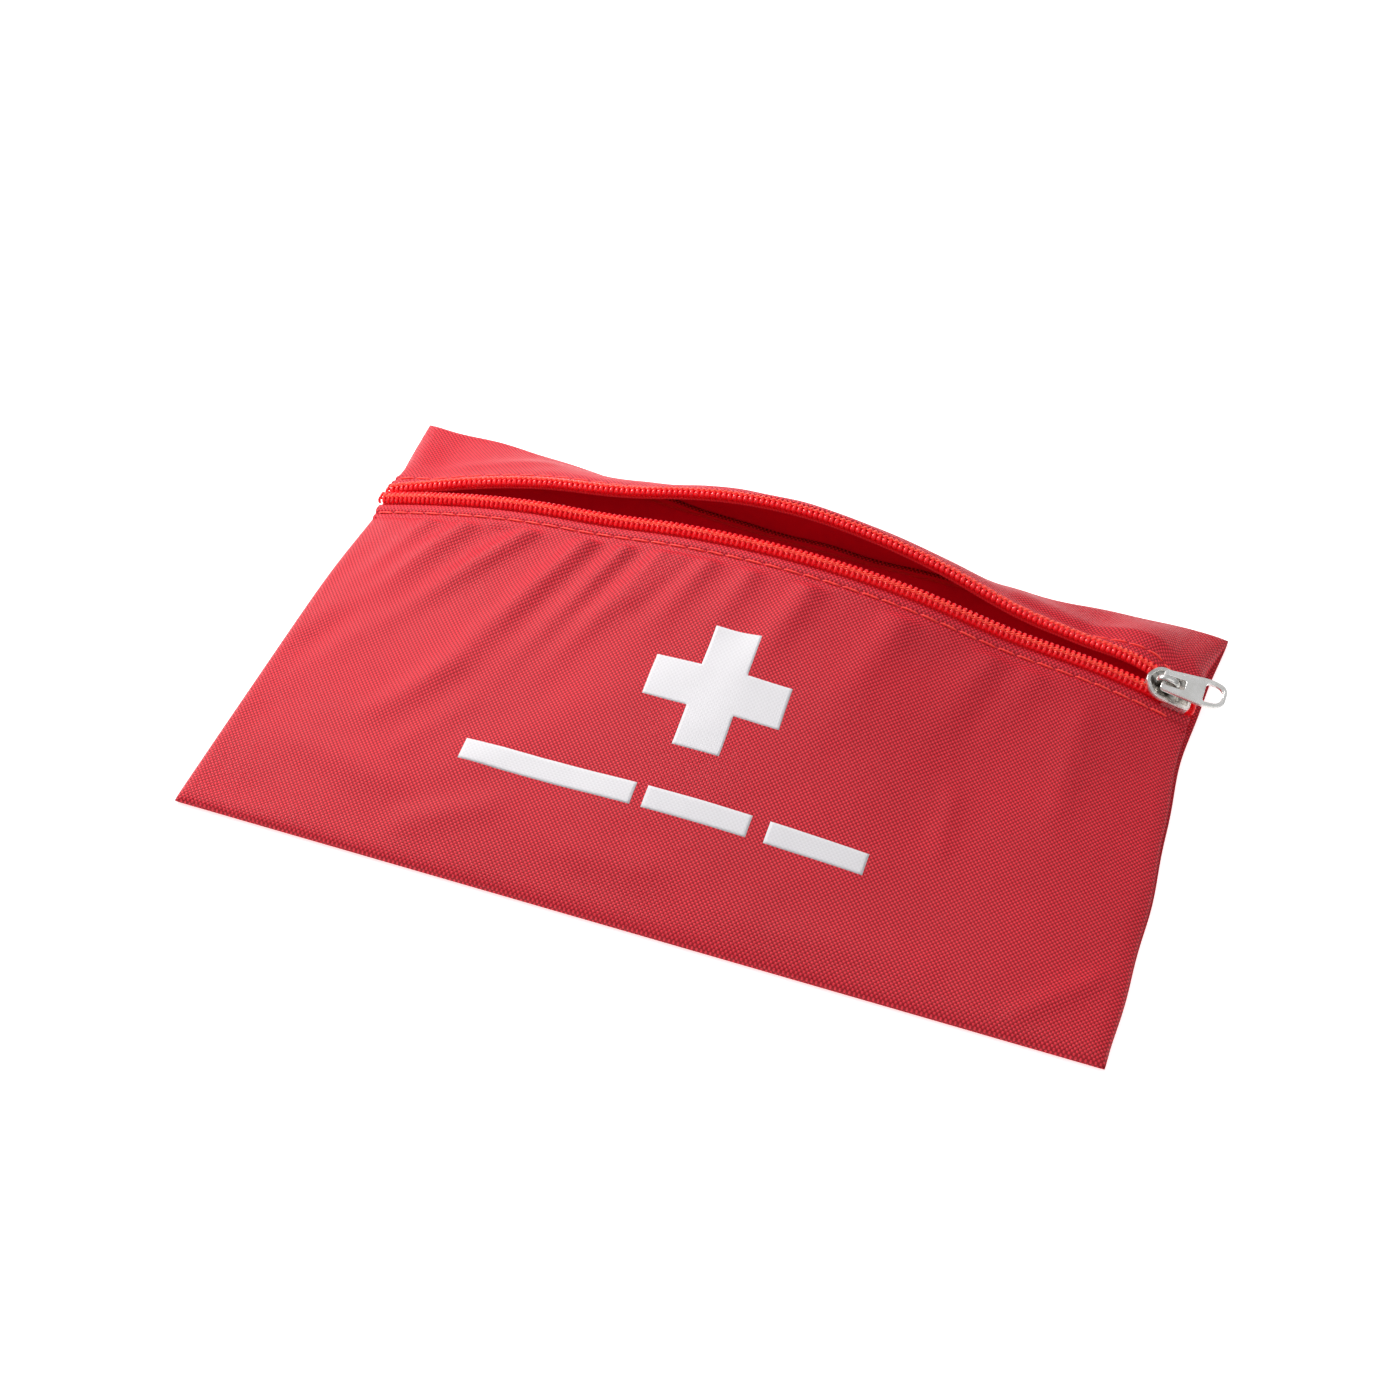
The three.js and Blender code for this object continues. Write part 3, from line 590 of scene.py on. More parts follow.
def screen_ink():
    material, nodes, links, shader = new_material("ink")
    vector, u, v = cloth_coordinates(nodes, links)
    pillow, on_top = weave_height(nodes, links, u, v, WARP_PITCH, WEFT_PITCH)
    base = mix_colour(nodes, links, on_top, (0.76, 0.74, 0.765), (0.82, 0.80, 0.825))
    specks = noise(nodes, links, vector, 0.9, 5.0, 0.7)
    worn = ramp(nodes, links, specks, [(0.70, (0.0, 0.0, 0.0)), (0.76, (1.0, 1.0, 1.0))])
    links.new(mix_colour(nodes, links, worn, base, (0.78, 0.55, 0.56)), shader.inputs["Base Color"])
    links.new(bump(nodes, links, pillow, 0.5, 0.0001), shader.inputs["Normal"])
    shader.inputs["Roughness"].default_value = 0.6
    return material


# ------ cloth

def line_lengths(line):
    """Distance along each row of a grid of points."""
    steps = np.linalg.norm(np.diff(line, axis=1), axis=-1)
    return np.concatenate([np.zeros((len(line), 1)), np.cumsum(steps, axis=1)], axis=1)


def bezier(p0, p1, p2, p3, t):
    t = t[None, :, None]
    p0, p1, p2, p3 = (p[:, None, :] for p in (p0, p1, p2, p3))
    s = 1 - t
    return p0 * s**3 + 3 * p1 * s**2 * t + 3 * p2 * s * t**2 + p3 * t**3


def panel_grid(u, chain, side, foot, swell, steps, stands):
    """Rows of cloth from under the turned hem, round its fold and out to an edge of the pouch. side is -1 or
    1, foot is where each row ends, swell is how far it bellies out, and stands is how far the fold stands off
    the tape. Also gives how many points of a row belong to the hem."""
    under_count = 10
    under_a = np.linspace(HEM_END + 1, HEM_EDGE, under_count)
    bend = np.linspace(-QUARTER, QUARTER, 7)[1:-1]
    middle_b, bend_radius = (HEM_TOP_B + HEM_UNDER_B) / 2, (HEM_TOP_B - HEM_UNDER_B) / 2
    over_a = np.linspace(HEM_EDGE, HEM_END, 20)[:-1]
    puff = 0.3 * np.sin(math.pi * np.clip((over_a - HEM_EDGE) / (STITCH_A - HEM_EDGE), 0, 1))
    sunk = bell(over_a, STITCH_A, 0.55, 0.28)
    fold_a = HEM_EDGE - bend_radius * 1.4 * np.cos(bend)
    fold_b = middle_b + bend_radius * np.sin(bend)
    a = np.concatenate([under_a, fold_a, over_a])
    b = np.concatenate([np.full(under_count, HEM_UNDER_B), fold_b, HEM_TOP_B + puff - sunk])
    free = np.clip(1 - (a - HEM_EDGE) / (STITCH_A - HEM_EDGE - 0.4), 0, 1) ** 1.5
    b = b[None, :] + np.multiply.outer(stands, free)
    chain = tuple(part[:, None, :] for part in chain)
    hem = place(chain, side * np.broadcast_to(a, b.shape), b)
    one_each = np.ones((len(u), 1))
    hem_end = place(chain, one_each * side * HEM_END, one_each * HEM_TOP_B)[:, 0]
    heading = side * chain[2][:, 0]
    reach = np.linalg.norm(foot - hem_end, axis=-1) / 3
    drop = np.maximum(hem_end[:, 2] - foot[:, 2], 0) / np.maximum(-heading[:, 2], 1e-6)
    leave = hem_end + heading * np.minimum(reach, drop / 2)[:, None]
    arrive = mix(foot, hem_end, 1 / 3) + np.multiply.outer(swell, np.array([0.0, 0.0, 1.0]))
    cloth = bezier(hem_end, leave, arrive, foot, np.linspace(0, 1, steps))
    offset = cloth[:, :1, 0] - across_pouch(u[:, None], cloth[:, :1, 1])
    fade = 1 - np.linspace(0, 1, steps)[None, :]
    cloth[..., 0] = across_pouch(u[:, None], cloth[..., 1]) + offset * fade
    return np.concatenate([hem, cloth], axis=1), hem.shape[1]


def edge_drop(distance, width):
    """0 at a seam, 1 past the rolled edge."""
    t = np.clip(distance / width, 0, 1)
    return np.sqrt(np.maximum(1 - (1 - t) ** 2, 0))


def ridge(x, y, x0, y0, lean, length, width, height):
    """A soft ridge that starts at (x0, y0) and runs towards -Y, widening as it fades."""
    run = y0 - y
    centre = x0 + lean * run
    spread = width * (1 + 0.35 * np.clip(run / length, 0, 2))
    rise = smooth((run + 1) / 3.5) * np.exp(-((np.maximum(run, 0) / length) ** 2))
    return rise * bell(x, centre, spread, height)


# Puckers that run down from the lower topstitch: x, lean, length, width, height
PUCKERS = [
    (-97, -0.50, 31, 3.9, 1.9),
    (-85, -0.65, 48, 4.6, 2.8),
    (-66, -0.75, 40, 4.3, 2.8),
    (-49, -0.45, 48, 3.9, 2.8),
    (-38, -0.38, 40, 3.1, 2.2),
    (-27, -0.42, 38, 3.1, 2.0),
    (-14, -0.35, 26, 3.4, 1.5),
    (-2, -0.24, 20, 3.1, 1.2),
    (14, -0.24, 28, 4.0, 1.7),
    (39, -0.22, 31, 4.6, 1.2),
    (64, -0.24, 31, 4.6, 1.2),
    (75, -0.26, 28, 4.3, 0.8),
]

# Loose folds on the front: two ends, width, height
FOLDS = [
    ((-21, 31), (-30, 13), 3.4, 1.3),
    ((-70, -19), (-83, -34), 4.5, 1.0),
    ((-62, -30), (-72, -44), 4.0, 0.5),
    ((-73, -55), (-93, -51), 5.0, 0.9),
    ((-45, -56), (-60, -64), 4.5, 0.9),
    ((0, -60), (-16, -61), 4.5, 0.6),
    ((66, -17), (67, -29), 3.0, 0.5),
    ((90, 22), (91, -6), 4.0, 0.6),
    ((-103, 6), (-112, -14), 5.5, -0.9),
    ((-92, 14), (-103, -8), 5.0, 0.8),
    ((113, -52), (98, -68), 3.0, 0.8),
    ((-40, -30), (-52, -44), 7.0, 0.5),
    ((30, -66), (70, -64), 5.0, 0.4),
]

# Loose folds on the strip, given the same way
STRIP_FOLDS = [
    ((-106, 54), (-78, 64), 3.5, 0.9),
    ((66, 60), (100, 54), 3.5, 0.9),
]


def fold(x, y, start, end, width, height):
    """A soft fold along the line between two points."""
    run = np.subtract(end, start)
    length = float(np.hypot(*run))
    along = ((x - start[0]) * run[0] + (y - start[1]) * run[1]) / length
    aside = ((x - start[0]) * run[1] - (y - start[1]) * run[0]) / length
    past = np.maximum(np.abs(along - length / 2) - length / 2, 0)
    return height * np.exp(-((aside / width) ** 2) - ((past / (1.6 * width)) ** 2))


def front_wrinkles(x, y, hem_y):
    """Height that the puckers, the folds and the general unevenness add to the front."""
    bulge = sum(ridge(x, y, start, hem_y, *rest) for start, *rest in PUCKERS)
    creases = sum(fold(x, y, *each) for each in FOLDS)
    broad = 0.9 * soft_noise(x + 0.4 * y, y, 34, 3) + 0.4 * soft_noise(x - 0.6 * y, y, 15, 4)
    left = 0.4 + 0.6 * smooth((30 - x) / 120)
    return bulge + creases + broad * left + 0.05 * soft_noise(x, y, 5, 5)


def make_front(material, lining):
    """The front cloth, with its grid, flat coordinates and hem for the print."""
    u = np.linspace(-1, 1, 281)
    chain = lower_frame(u * CHAIN_REACH)
    foot_x = across_pouch(u, -HALF_HEIGHT)
    foot = np.stack([foot_x, bottom_edge(foot_x), np.full_like(u, 2.2)], axis=-1)
    swell = 0.2 + 0.8 * (1 - u**2)
    grid, hem_count = panel_grid(u, chain, -1, foot, swell, 140, np.full_like(u, 0.15))
    lengths = line_lengths(grid)
    flat_x = np.broadcast_to((u * FLAT_HALF_WIDTH)[:, None], lengths.shape)
    cloth = grid[:, hem_count:]
    x, y = cloth[..., 0], cloth[..., 1]
    hem_y = cloth[:, :1, 1]
    from_side = distance_from_side(x, y)
    from_bottom = y - bottom_edge(x)
    calm = smooth(from_side / 9) * smooth((hem_y - y) / 2) * smooth(from_bottom / 9)
    cloth[..., 2] += front_wrinkles(x, y, hem_y) * calm
    width = mix(3.0, 5.0, smooth(x / 100))
    roll = edge_drop(from_side, width) * edge_drop(from_bottom, 4.5)
    cloth[..., 2] = SEAM_Z + (cloth[..., 2] - SEAM_Z) * roll
    grid[:, hem_count:] = cloth
    uv = np.stack([flat_x, -lengths], axis=-1)
    front = shell("front_cloth", grid, uv, CLOTH, -1.0)
    line_inside(front, grid.shape, False, material, lining)
    return front, grid, uv, hem_count


def make_strip(material, lining):
    """The strip cloth, and how much each point of its grid follows the upper lip, from 0 to 1."""
    u = np.linspace(-1, 1, 281)
    chain = upper_frame(u * CHAIN_REACH)
    foot_x = across_pouch(u, HALF_HEIGHT)
    foot = np.stack([foot_x, top_edge(foot_x), np.full_like(u, 1.8)], axis=-1)
    stands = 0.2 + bell(foot_x, HEM_STANDS_X, HEM_STANDS_WIDTH, HEM_STANDS)
    grid, hem_count = panel_grid(u, chain, 1, foot, np.full_like(u, 0.4), 60, stands)
    lengths = line_lengths(grid)
    flat_x = np.broadcast_to((u * FLAT_HALF_WIDTH)[:, None], lengths.shape)
    cloth = grid[:, hem_count:]
    x, y = cloth[..., 0], cloth[..., 1]
    from_side = distance_from_side(x, y)
    from_top = top_edge(x) - y
    run = np.linspace(0, 1, cloth.shape[1])[None, :]
    calm = smooth(from_side / 12) * smooth(run / 0.2) * smooth((1 - run) / 0.2)
    waves = 0.6 * soft_noise(x, y, 21, 8) + 0.25 * soft_noise(x, y, 9, 9)
    waves = waves + sum(fold(x, y, *each) for each in STRIP_FOLDS)
    cloth[..., 2] += waves * calm
    from_seam = ((1 - np.abs(u)) * HALF_WIDTH)[:, None]
    side_roll = mix(1.0, edge_drop(from_seam, 5.0), smooth(run / 0.35))
    roll = side_roll * edge_drop(from_side, 2.4) * edge_drop(from_top, 2.0)
    cloth[..., 2] = SEAM_Z + (cloth[..., 2] - SEAM_Z) * roll
    grid[:, hem_count:] = cloth
    uv = np.stack([flat_x, lengths], axis=-1)
    strip = shell("strip_cloth", grid, uv, CLOTH, 1.0)
    line_inside(strip, grid.shape, False, material, lining)
    weight = np.ones(grid.shape[:2])
    past_hem = 1 - smooth(run)
    seam_hold = smooth(from_side / 16)
    weight[:, hem_count:] = past_hem * mix(1.0, seam_hold, smooth(run * 3))
    return strip, weight


def make_back(material, lining):
    u = np.linspace(-1, 1, 161)
    v = np.linspace(-1, 1, 101)
    uu, vv = np.meshgrid(u, v, indexing="ij")
    x = across_pouch(uu, vv * HALF_HEIGHT)
    y = mix(bottom_edge(x), top_edge(x), (vv + 1) / 2)
    x = across_pouch(uu, y)
    from_side = distance_from_side(x, y)
    from_end = np.minimum(top_edge(x) - y, y - bottom_edge(x))
    edge = np.minimum(from_side, from_end)
    z = CLOTH / 2 + 0.01 + (SEAM_Z - CLOTH / 2) * smooth(1 - edge / 3.0)
    grid = np.stack([x, y, z], axis=-1)
    uv = np.stack([uu * FLAT_HALF_WIDTH, vv * HALF_HEIGHT], axis=-1)
    back = shell("back_cloth", grid, uv, CLOTH, 1.0)
    line_inside(back, grid.shape, True, material, lining)
    return back


# ------ zip

def chain_positions(start, end, pitch):
    """u at equal steps along the arc, between two u values."""
    count = int((end - start) * ARC_HALF_LENGTH / pitch)
    return start + np.arange(count + 1) * pitch / ARC_HALF_LENGTH


# One turn of the coil, seen along the zip: a is the distance from the line where the teeth meet, b is up.
# The third value is the share of the pitch covered so far, and the last two say how many times thicker the
# filament is there, and how many times wider along the zip.
COIL_TURN = [
    (3.05, -0.30, 0.00, 1.0, 1.0),
    (3.12, 0.20, 0.10, 1.0, 1.0),
    (2.80, 0.66, 0.16, 1.0, 1.0),
    (2.20, 0.78, 0.18, 1.0, 1.0),
    (1.50, 0.76, 0.18, 1.0, 1.0),
    (0.85, 0.70, 0.18, 1.0, 1.0),
    (0.35, 0.50, 0.18, 1.15, 1.15),
    (0.08, 0.08, 0.20, 1.3, 1.25),
    (0.30, -0.42, 0.22, 1.15, 1.15),
    (0.85, -0.66, 0.22, 1.0, 1.05),
    (1.50, -0.76, 0.24, 1.0, 1.0),
    (2.20, -0.78, 0.30, 1.0, 1.0),
    (2.75, -0.66, 0.70, 1.0, 1.0),
]


def make_coil(name, frame_at, side, material, phase):
    """One half's spiral. phase is its offset along the zip as a share of the pitch."""
    turns = chain_positions(-CHAIN_REACH, CHAIN_REACH, COIL_PITCH)
    step = COIL_PITCH / ARC_HALF_LENGTH
    turn = np.array(COIL_TURN)
    shift = np.arange(len(turns))[:, None] + turn[None, :, 2] + phase
    u = (-CHAIN_REACH + shift * step).ravel()
    keep = u < CHAIN_REACH
    u = u[keep]
    rows = np.tile(turn, (len(turns), 1))[keep]
    chain = frame_at(u)
    path = place(chain, side * rows[:, 0], rows[:, 1])
    points, faces = tube(path, FILAMENT * rows[:, 3], 8, chain[1], rows[:, 4])
    coil = new_mesh(name, points, faces)
    coil.data.materials.append(material)
    return coil


def make_coil_thread(name, frame_at, side, material, phase):
    """Two strands that lie over every turn of the coil and dip between them."""
    step = COIL_PITCH / ARC_HALF_LENGTH
    samples = 8
    u = np.arange(-CHAIN_REACH + step, CHAIN_REACH - step, step / samples)
    top_of_turn = 0.18
    turn = (u + CHAIN_REACH) / step - phase - top_of_turn
    wave = np.cos(turn * TAU)
    chain = frame_at(u)
    parts = []
    for offset, swing in STRANDS:
        a = offset + swing * np.sin(turn * TAU)
        path = place(chain, side * a, STRAND_B + 0.20 * wave)
        parts.append(tube(path, STRAND_RADIUS + 0.03 * wave, 6))
    points, faces = joined(parts)
    thread = new_mesh(name, points, faces)
    thread.data.materials.append(material)
    return thread


def make_tape(name, frame_at, side, material):
    u = np.linspace(-CHAIN_REACH, CHAIN_REACH, 241)
    a = np.linspace(*TAPE_EDGES, 15)
    chain = tuple(part[:, None, :] for part in frame_at(u))
    aa = np.broadcast_to(side * a, (len(u), len(a)))
    grid = place(chain, aa, np.full_like(aa, TAPE_B))
    uv = np.stack([np.broadcast_to((u * TAPE_FLAT_HALF)[:, None], aa.shape), aa], axis=-1)
    tape = shell(name, grid, uv, TAPE_THICK, side)
    tape.data.materials.append(material)
    return tape


def make_topstitch(name, frame_at, side, material):
    """Separate stitches, each one turning down into the cloth at both ends."""
    starts = chain_positions(-CHAIN_REACH + 0.012, CHAIN_REACH - 0.05, STITCH_PITCH)
    t = np.linspace(0, 1, 9)
    surfaced = np.minimum(1, np.minimum(t, 1 - t) * 7)
    a = STITCH_A + STITCH_SLANT * (t - 0.5)
    b = HEM_TOP_B + CLOTH / 2 - STITCH_SUNK + STITCH_RISE * surfaced
    radii = STITCH_RADIUS * (0.7 + 0.3 * surfaced)
    parts = []
    for start in starts:
        u = start + t * (STITCH_PITCH - STITCH_GAP) / ARC_HALF_LENGTH
        parts.append(tube(place(frame_at(u), side * a, b), radii, 7))
    points, faces = joined(parts)
    stitch = new_mesh(name, points, faces)
    stitch.data.materials.append(material)
    return stitch


def make_core_cord(name, frame_at, side, material):
    u = np.linspace(-CHAIN_REACH, CHAIN_REACH, 161)
    path = place(frame_at(u), np.full_like(u, side * CORD_A), np.full_like(u, CORD_B))
    points, faces = tube(path, CORD_RADIUS, 7)
    cord = new_mesh(name, points, faces)
    cord.data.materials.append(material)
    return cord


# ------ slider

def rounded_outline(corners, steps=7):
    """A closed outline with rounded corners."""
    points = []
    for i, (x, y, take) in enumerate(corners):
        here = np.array([x, y])
        before = np.array(corners[i - 1][:2]) - here
        after = np.array(corners[(i + 1) % len(corners)][:2]) - here
        start = here + before / np.linalg.norm(before) * take
        end = here + after / np.linalg.norm(after) * take
        t = np.linspace(0, 1, steps)[:, None]
        points.append((1 - t) ** 2 * start + 2 * t * (1 - t) * here + t**2 * end)
    return np.concatenate(points)


def inset(outline, distance):
    """Moves a closed outline towards its left-hand side."""
    run = np.roll(outline, -1, axis=0) - np.roll(outline, 1, axis=0)
    run = run / np.maximum(np.linalg.norm(run, axis=1, keepdims=True), 1e-9)
    return outline + np.stack([-run[:, 1], run[:, 0]], axis=1) * distance


def plate(outline, holes, bottom, top, edge):
    """Points and faces of a flat plate whose edges are rounded by edge. The outline runs anticlockwise and
    the holes clockwise."""
    bend = np.linspace(0, QUARTER, 5)
    low = [(edge * 1.25, bottom)]
    low += [(edge * (1 - math.sin(t)), bottom + edge * (1 - math.cos(t))) for t in bend]
    rows = low + [(x, top + bottom - z) for x, z in reversed(low)]
    points, faces, caps = [], [], []
    start = 0
    for loop in (outline, *holes):
        count = len(loop)
        for depth, z in rows:
            points.append(np.column_stack([inset(loop, depth), np.full(count, z)]))
        for r in range(len(rows) - 1):
            for k in range(count):
                a, b = start + r * count + k, start + r * count + (k + 1) % count
                faces.append((a, b, b + count, a + count))
        caps.append((start, start + (len(rows) - 1) * count, count))
        start += len(rows) * count
    points = np.concatenate(points)
    for side in (0, 1):
        index = np.concatenate([np.arange(cap[side], cap[side] + cap[2]) for cap in caps])
        loops = [[Vector(points[i]) for i in range(cap[side], cap[side] + cap[2])] for cap in caps]
        for triangle in tessellate_polygon(loops):
            i, j, k = (int(index[v]) for v in triangle)
            facing = np.cross(points[j] - points[i], points[k] - points[i])[2]
            faces.append((i, j, k) if (facing > 0) == (side == 1) else (i, k, j))
    return points, faces


def mirrored_corners(upper):
    """Corners of a shape that is the same on both sides of y = 0, from its upper half's, tail first."""
    return upper + [(x, -y, take) for x, y, take in reversed(upper)]


def place_metal(name, parts, origin, along, across, material):
    """One piece made of parts that are given in the axes along, across and outwards."""
    points, faces = joined(parts)
    basis = np.array([along, across, np.cross(along, across)])
    piece = new_mesh(name, points @ basis + origin, faces)
    piece.data.set_sharp_from_angle(angle=math.radians(40))
    piece.data.materials.append(material)
    return piece


def slider_axes():
    """Origin of the slider, then the directions along, across and outwards."""
    origin, along, across = (np.array(v) for v in (SLIDER_ORIGIN, SLIDER_ALONG, SLIDER_ACROSS))
    return origin, along, across, np.cross(along, across)


def make_slider_body(material, painted_shade_nickel):
    """Two plates, the rim of the upper one, two side flanges and the divider post. The sunk face inside the
    rim takes a much darker nickel, painted shade with painted reflections."""
    origin, along, across, up = slider_axes()
    body = rounded_outline(mirrored_corners(BODY_CORNERS))
    rim_hole = inset(body, RIM_WIDTH)[::-1]
    flange = rounded_outline(FLANGE_CORNERS)
    other_flange = rounded_outline([(x, -y, take) for x, y, take in reversed(FLANGE_CORNERS)])
    parts = [
        plate(body, [], *PLATE_TOP, 0.3),
        plate(body, [rim_hole], PLATE_TOP[1] - 0.1, PLATE_TOP[1] + RIM_HEIGHT, 0.16),
        plate(body, [], *PLATE_BOTTOM, 0.3),
        plate(flange, [], -0.2, PLATE_TOP[0] + 0.2, 0.12),
        plate(other_flange, [], -0.2, PLATE_TOP[0] + 0.2, 0.12),
        plate(rounded_outline(POST_CORNERS), [], PLATE_BOTTOM[1] - 0.1, PLATE_TOP[0] + 0.1, 0.1),
    ]
    slider = place_metal("slider_casting", parts, origin, along, across, material)
    slider.data.materials.append(painted_shade_nickel)
    # Painted shade: the sunk floor inside the rim gets the dark nickel.
    for face in slider.data.polygons:
        height = np.dot(np.array(face.center) / MM - origin, up)
        if abs(height - PLATE_TOP[1]) < 0.02:
            face.material_index = 1
    return slider


def make_bridge(material):
    """The arch that carries the pull."""
    origin, along, across, _ = slider_axes()
    turn = np.linspace(0, math.pi, 29)
    x = BRIDGE_X - BRIDGE_HALF * np.sign(np.cos(turn)) * np.abs(np.cos(turn)) ** BRIDGE_ROUND
    z = PLATE_TOP[1] - 0.15 + BRIDGE_HEIGHT * np.sin(turn) ** BRIDGE_ROUND
    path = np.column_stack([x, np.zeros_like(x), z])
    sideways = np.tile([0.0, 1.0, 0.0], (len(path), 1))
    arch = tube(path, BRIDGE_RADIUS, 16, sideways, np.full(len(path), BRIDGE_WIDENED))
    return place_metal("slider_loop", [arch], origin, along, across, material)


def make_pull(material):
    """The pull tab: a plate with an eye and a window, and a raised border on its outer face."""
    origin, along, across, up = slider_axes()
    pivot = origin + along * PULL_AXIS[0] + up * PULL_AXIS[1]
    reach = along * math.cos(PULL_TILT) + up * math.sin(PULL_TILT)
    outline = rounded_outline(mirrored_corners(PULL_CORNERS))
    holes = [rounded_outline(EYE_CORNERS), rounded_outline(WINDOW_CORNERS)]
    border, within = inset(outline, BORDER_GAP), inset(outline, BORDER_GAP + BORDER_WIDTH)[::-1]
    face = PULL_THICK / 2
    parts = [
        plate(outline, holes, -face, face, 0.22),
        plate(border, [within], face - 0.05, face + BORDER_HEIGHT, 0.07),
    ]
    return place_metal("pull_plate", parts, pivot, reach, across, material)


# ------ print

def make_film(name, grid, uv, hem_count, columns, rows, inked, material):
    """Ink on the front cloth. columns and rows are flat cloth coordinates, and inked says which cells are
    filled."""
    flat = uv[:, hem_count:]
    cloth = grid[:, hem_count:]
    normal = -grid_normals(grid)[:, hem_count:]
    lift = cloth + normal * (CLOTH / 2 + INK_LIFT)
    points, coordinates, index = [], [], {}
    column_u = flat[:, 0, 0]

    def sample(cx, cy):
        i = np.clip(np.searchsorted(column_u, cx) - 1, 0, len(column_u) - 2)
        fi = (cx - column_u[i]) / (column_u[i + 1] - column_u[i])
        down = -(flat[i, :, 1] * (1 - fi) + flat[i + 1, :, 1] * fi)
        j = np.clip(np.searchsorted(down, -cy) - 1, 0, len(down) - 2)
        fj = (-cy - down[j]) / (down[j + 1] - down[j])
        near = mix(lift[i, j], lift[i, j + 1], fj)
        far = mix(lift[i + 1, j], lift[i + 1, j + 1], fj)
        return mix(near, far, fi)

    def vertex(i, j):
        if (i, j) not in index:
            index[i, j] = len(points)
            points.append(sample(columns[i], rows[j]))
            coordinates.append((columns[i], rows[j]))
        return index[i, j]

    faces = []
    for i in range(len(columns) - 1):
        for j in range(len(rows) - 1):
            if inked((columns[i] + columns[i + 1]) / 2, (rows[j] + rows[j + 1]) / 2):
                faces.append((vertex(i, j), vertex(i + 1, j), vertex(i + 1, j + 1), vertex(i, j + 1)))
    film = new_mesh(name, np.array(points), faces, np.array(coordinates))
    solid = film.modifiers.new("thickness", "SOLIDIFY")
    solid.thickness = INK_THICK * MM
    solid.offset = -1
    film.data.materials.append(material)
    return film


def cloth_v_at(grid, uv, hem_count, plan_y):
    """Flat cloth coordinate of a place on the centre line, seen from above."""
    middle = grid.shape[0] // 2
    y = grid[middle, hem_count:, 1]
    v = uv[middle, hem_count:, 1]
    return float(np.interp(-plan_y, -y, v))


def make_print(grid, uv, hem_count, material):
    """The cross, and three bars in place of the wording."""
    cross_v = cloth_v_at(grid, uv, hem_count, CROSS_Y)
    half_span, half_arm = CROSS_SPAN / 2, CROSS_ARM / 2
    outer = np.linspace(-half_span, -half_arm, 16)
    lines = np.concatenate([outer, np.linspace(-half_arm, half_arm, 17)[1:], -outer[-2::-1]])

    def in_cross(x, v):
        return abs(x - CROSS_X) < half_arm or abs(v - cross_v) < half_arm

    columns, rows = CROSS_X + lines, cross_v + lines
    pieces = [make_film("cross_ink", grid, uv, hem_count, columns, rows, in_cross, material)]
    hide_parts("print_cross")
    bar_v = cloth_v_at(grid, uv, hem_count, BAR_Y)
    for name, start, end in BARS:
        columns = np.linspace(start, end, int((end - start) / PRINT_CELL))
        rows = np.linspace(bar_v - BAR_HALF_HEIGHT, bar_v + BAR_HALF_HEIGHT, 8)
        bar = make_film(f"bar_ink_{name}", grid, uv, hem_count, columns, rows, lambda x, v: True, material)
        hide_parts(f"print_bar_{name}")
        pieces.append(bar)
    return pieces


# ------ camera, light, table

def make_camera():
    level = math.cos(CAMERA_ELEVATION)
    back = Vector((math.sin(CAMERA_AZIMUTH) * level, -math.cos(CAMERA_AZIMUTH) * level,
                   math.sin(CAMERA_ELEVATION)))
    data = bpy.data.cameras.new("camera")
    data.sensor_width = CAMERA_SENSOR
    data.lens = CAMERA_LENS
    data.clip_start = 0.01
    camera = bpy.data.objects.new("camera", data)
    camera.location = Vector(CAMERA_TARGET) + back * CAMERA_DISTANCE
    camera.rotation_euler = (-back).to_track_quat("-Z", "Y").to_euler()
    bpy.context.scene.collection.objects.link(camera)
    bpy.context.scene.camera = camera


def area_light(name, location, size, power, colour, target=(0.0, 0.0, 0.0)):
    data = bpy.data.lights.new(name, "AREA")
    data.shape = "DISK"
    data.size = size
    data.energy = power
    data.color = colour
    light = bpy.data.objects.new(name, data)
    light.location = location
    light.rotation_euler = (Vector(target) - Vector(location)).to_track_quat("-Z", "Y").to_euler()
    bpy.context.scene.collection.objects.link(light)


def make_lights():
    area_light("key", (-0.36, 0.2, 0.36), 0.3, 3.0, (1.0, 0.985, 0.97), (-0.03, 0.0, 0.0))
    area_light("fill", (0.5, -0.4, 0.8), 0.9, 1.2, (1.0, 1.0, 1.0))
    world = bpy.data.worlds.new("studio")
    world.use_nodes = True
    nodes, links = world.node_tree.nodes, world.node_tree.links
    source = nodes.new("ShaderNodeTexCoord")
    split = nodes.new("ShaderNodeSeparateXYZ")
    links.new(source.outputs["Generated"], split.inputs[0])
    sky = ramp(nodes, links, split.outputs[2], [(0.0, (0.26, 0.26, 0.265)), (0.9, (0.5, 0.505, 0.515))])
    links.new(sky, nodes["Background"].inputs["Color"])
    nodes["Background"].inputs["Strength"].default_value = 1.0
    bpy.context.scene.world = world


def make_table():
    bpy.ops.mesh.primitive_plane_add(size=8.0, location=(0, 0, -0.0002))
    table = bpy.context.object
    table.name = "table"
    material, _, _, shader = new_material("table")
    shader.inputs["Base Color"].default_value = (0.93, 0.93, 0.93, 1.0)
    shader.inputs["Roughness"].default_value = 0.8
    shader.inputs["Specular IOR Level"].default_value = 0.2
    shader.inputs["Emission Color"].default_value = (1.0, 1.0, 1.0, 1.0)
    shader.inputs["Emission Strength"].default_value = 0.62
    table.data.materials.append(material)


# ------ assembly

def dress(node, material):
    """Gives a CAD node that stays in view its material."""
    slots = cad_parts[node].data.materials
    slots.clear()
    slots.append(material)


def settle(piece, body, slot_name, *nodes):
    """Lets a piece ride on a body and stand for CAD nodes. slot_name, the slot it would take its finish from,
    is not used.
    """
    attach(piece, body)
    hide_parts(*nodes)


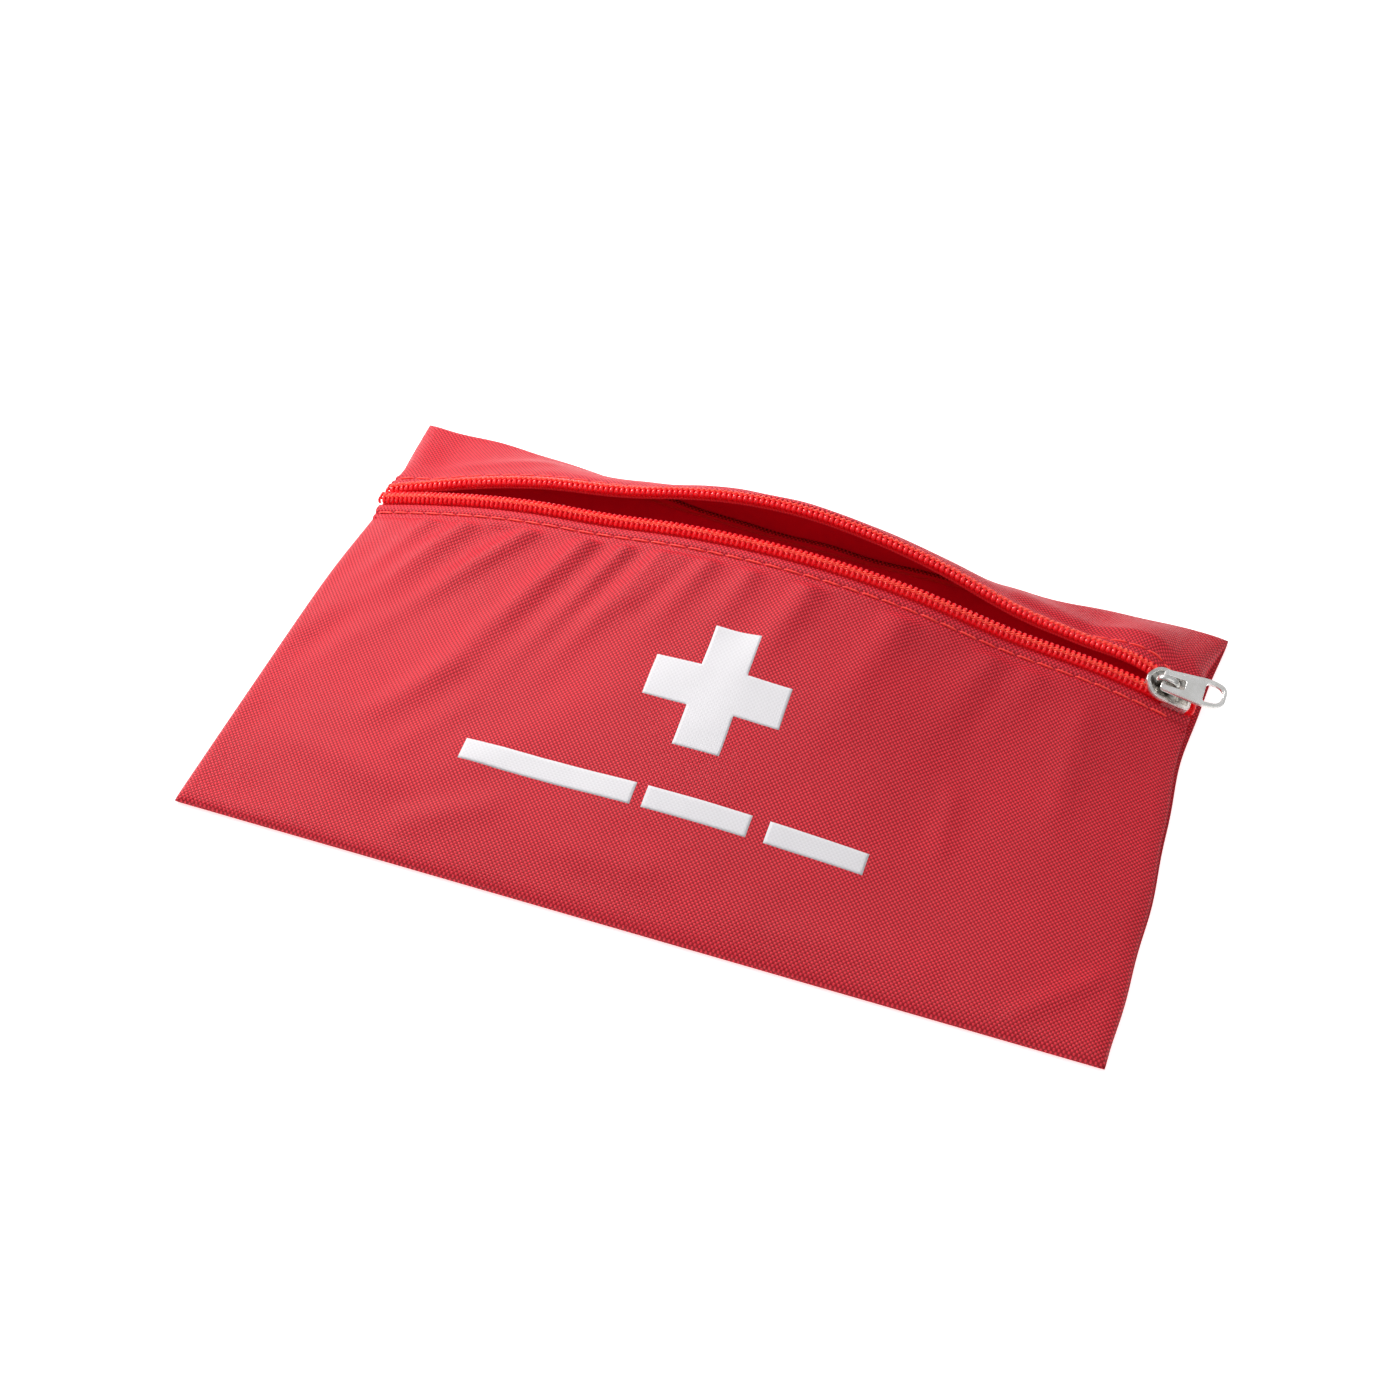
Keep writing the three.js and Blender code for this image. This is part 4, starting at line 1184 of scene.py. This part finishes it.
def make_cloths():
    cloth = oxford_cloth("oxford", (0.93, 0.036, 0.060), (0.40, 0.003, 0.014))
    lining = coated_lining()
    front, grid, uv, hem_count = make_front(cloth, lining)
    settle(front, "pouch", "cloth_red", "front_panel")
    back = make_back(cloth, lining)
    settle(back, "pouch", "cloth_red", "back_panel")
    for film in make_print(grid, uv, hem_count, screen_ink()):
        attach(film, "pouch")

    strip, weight = make_strip(cloth, lining)
    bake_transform(strip)
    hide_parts("top_strip")


def make_zip_half(half, frame_at, side, body, phase, looks):
    """Tape, coil, cord, thread and topstitch of one half. side is -1 for the lower half, 1 for the upper."""
    tape, coil, coil_thread, stitch = looks
    settle(make_tape(f"tape_{half}", frame_at, side, tape), body, "tape_red", f"zipper_tape_{half}")
    settle(make_coil(f"coil_{half}", frame_at, side, coil, phase), body, "coil_red", f"zipper_coil_{half}")
    cord = make_core_cord(f"core_cord_{half}", frame_at, side, tape)
    settle(cord, body, "tape_red", f"coil_core_cord_{half}")
    thread = make_coil_thread(f"coil_thread_{half}", frame_at, side, coil_thread, phase)
    settle(thread, body, "thread_red", f"coil_sewing_thread_{half}")
    stitches = make_topstitch(f"stitches_{half}", frame_at, side, stitch)
    settle(stitches, body, "thread_red", f"topstitch_{half}")


def make_zip():
    looks = (
        tape_cloth(),
        monofilament(),
        sewing_thread("coil_thread", (0.88, 0.035, 0.02), (1.0, 0.09, 0.04)),
        sewing_thread("stitch", (0.80, 0.025, 0.025), (0.98, 0.06, 0.04)),
    )
    make_zip_half("lower", lower_frame, -1, "pouch", 0.0, looks)
    make_zip_half("upper", upper_frame, 1, "upper_lip", 0.5, looks)


def make_metal():
    pull_plating = nickel("nickel", (0.84, 0.83, 0.80), (0.93, 0.92, 0.90), 260.0, 0.75)
    casting = nickel("nickel_casting", (0.66, 0.65, 0.62), (0.95, 0.94, 0.91), 300.0, 0.9)
    # Painted shade for the sunk face inside the slider's rim: a much darker nickel whose blotches are painted
    # reflections.
    painted_shade_nickel = nickel("nickel_painted_shade", (0.07, 0.06, 0.05), (0.62, 0.60, 0.55), 420.0, 0.95)
    settle(make_slider_body(casting, painted_shade_nickel), "slider", "slider_nickel", "slider_body")
    settle(make_bridge(casting), "slider", "slider_nickel", "slider_bridge")
    settle(make_pull(pull_plating), "pull", "slider_nickel", "pull_tab")


def dress_seams():
    thread = sewing_thread("seam_thread", (0.50, 0.004, 0.010), (0.65, 0.008, 0.014), 0.03)
    for edge in ("left", "right", "bottom", "top"):
        dress(f"seam_thread_{edge}", thread)


make_camera()
make_lights()
make_table()
bpy.context.scene.view_settings.view_transform = "Standard"
make_cloths()
make_zip()
dress_seams()
make_metal()
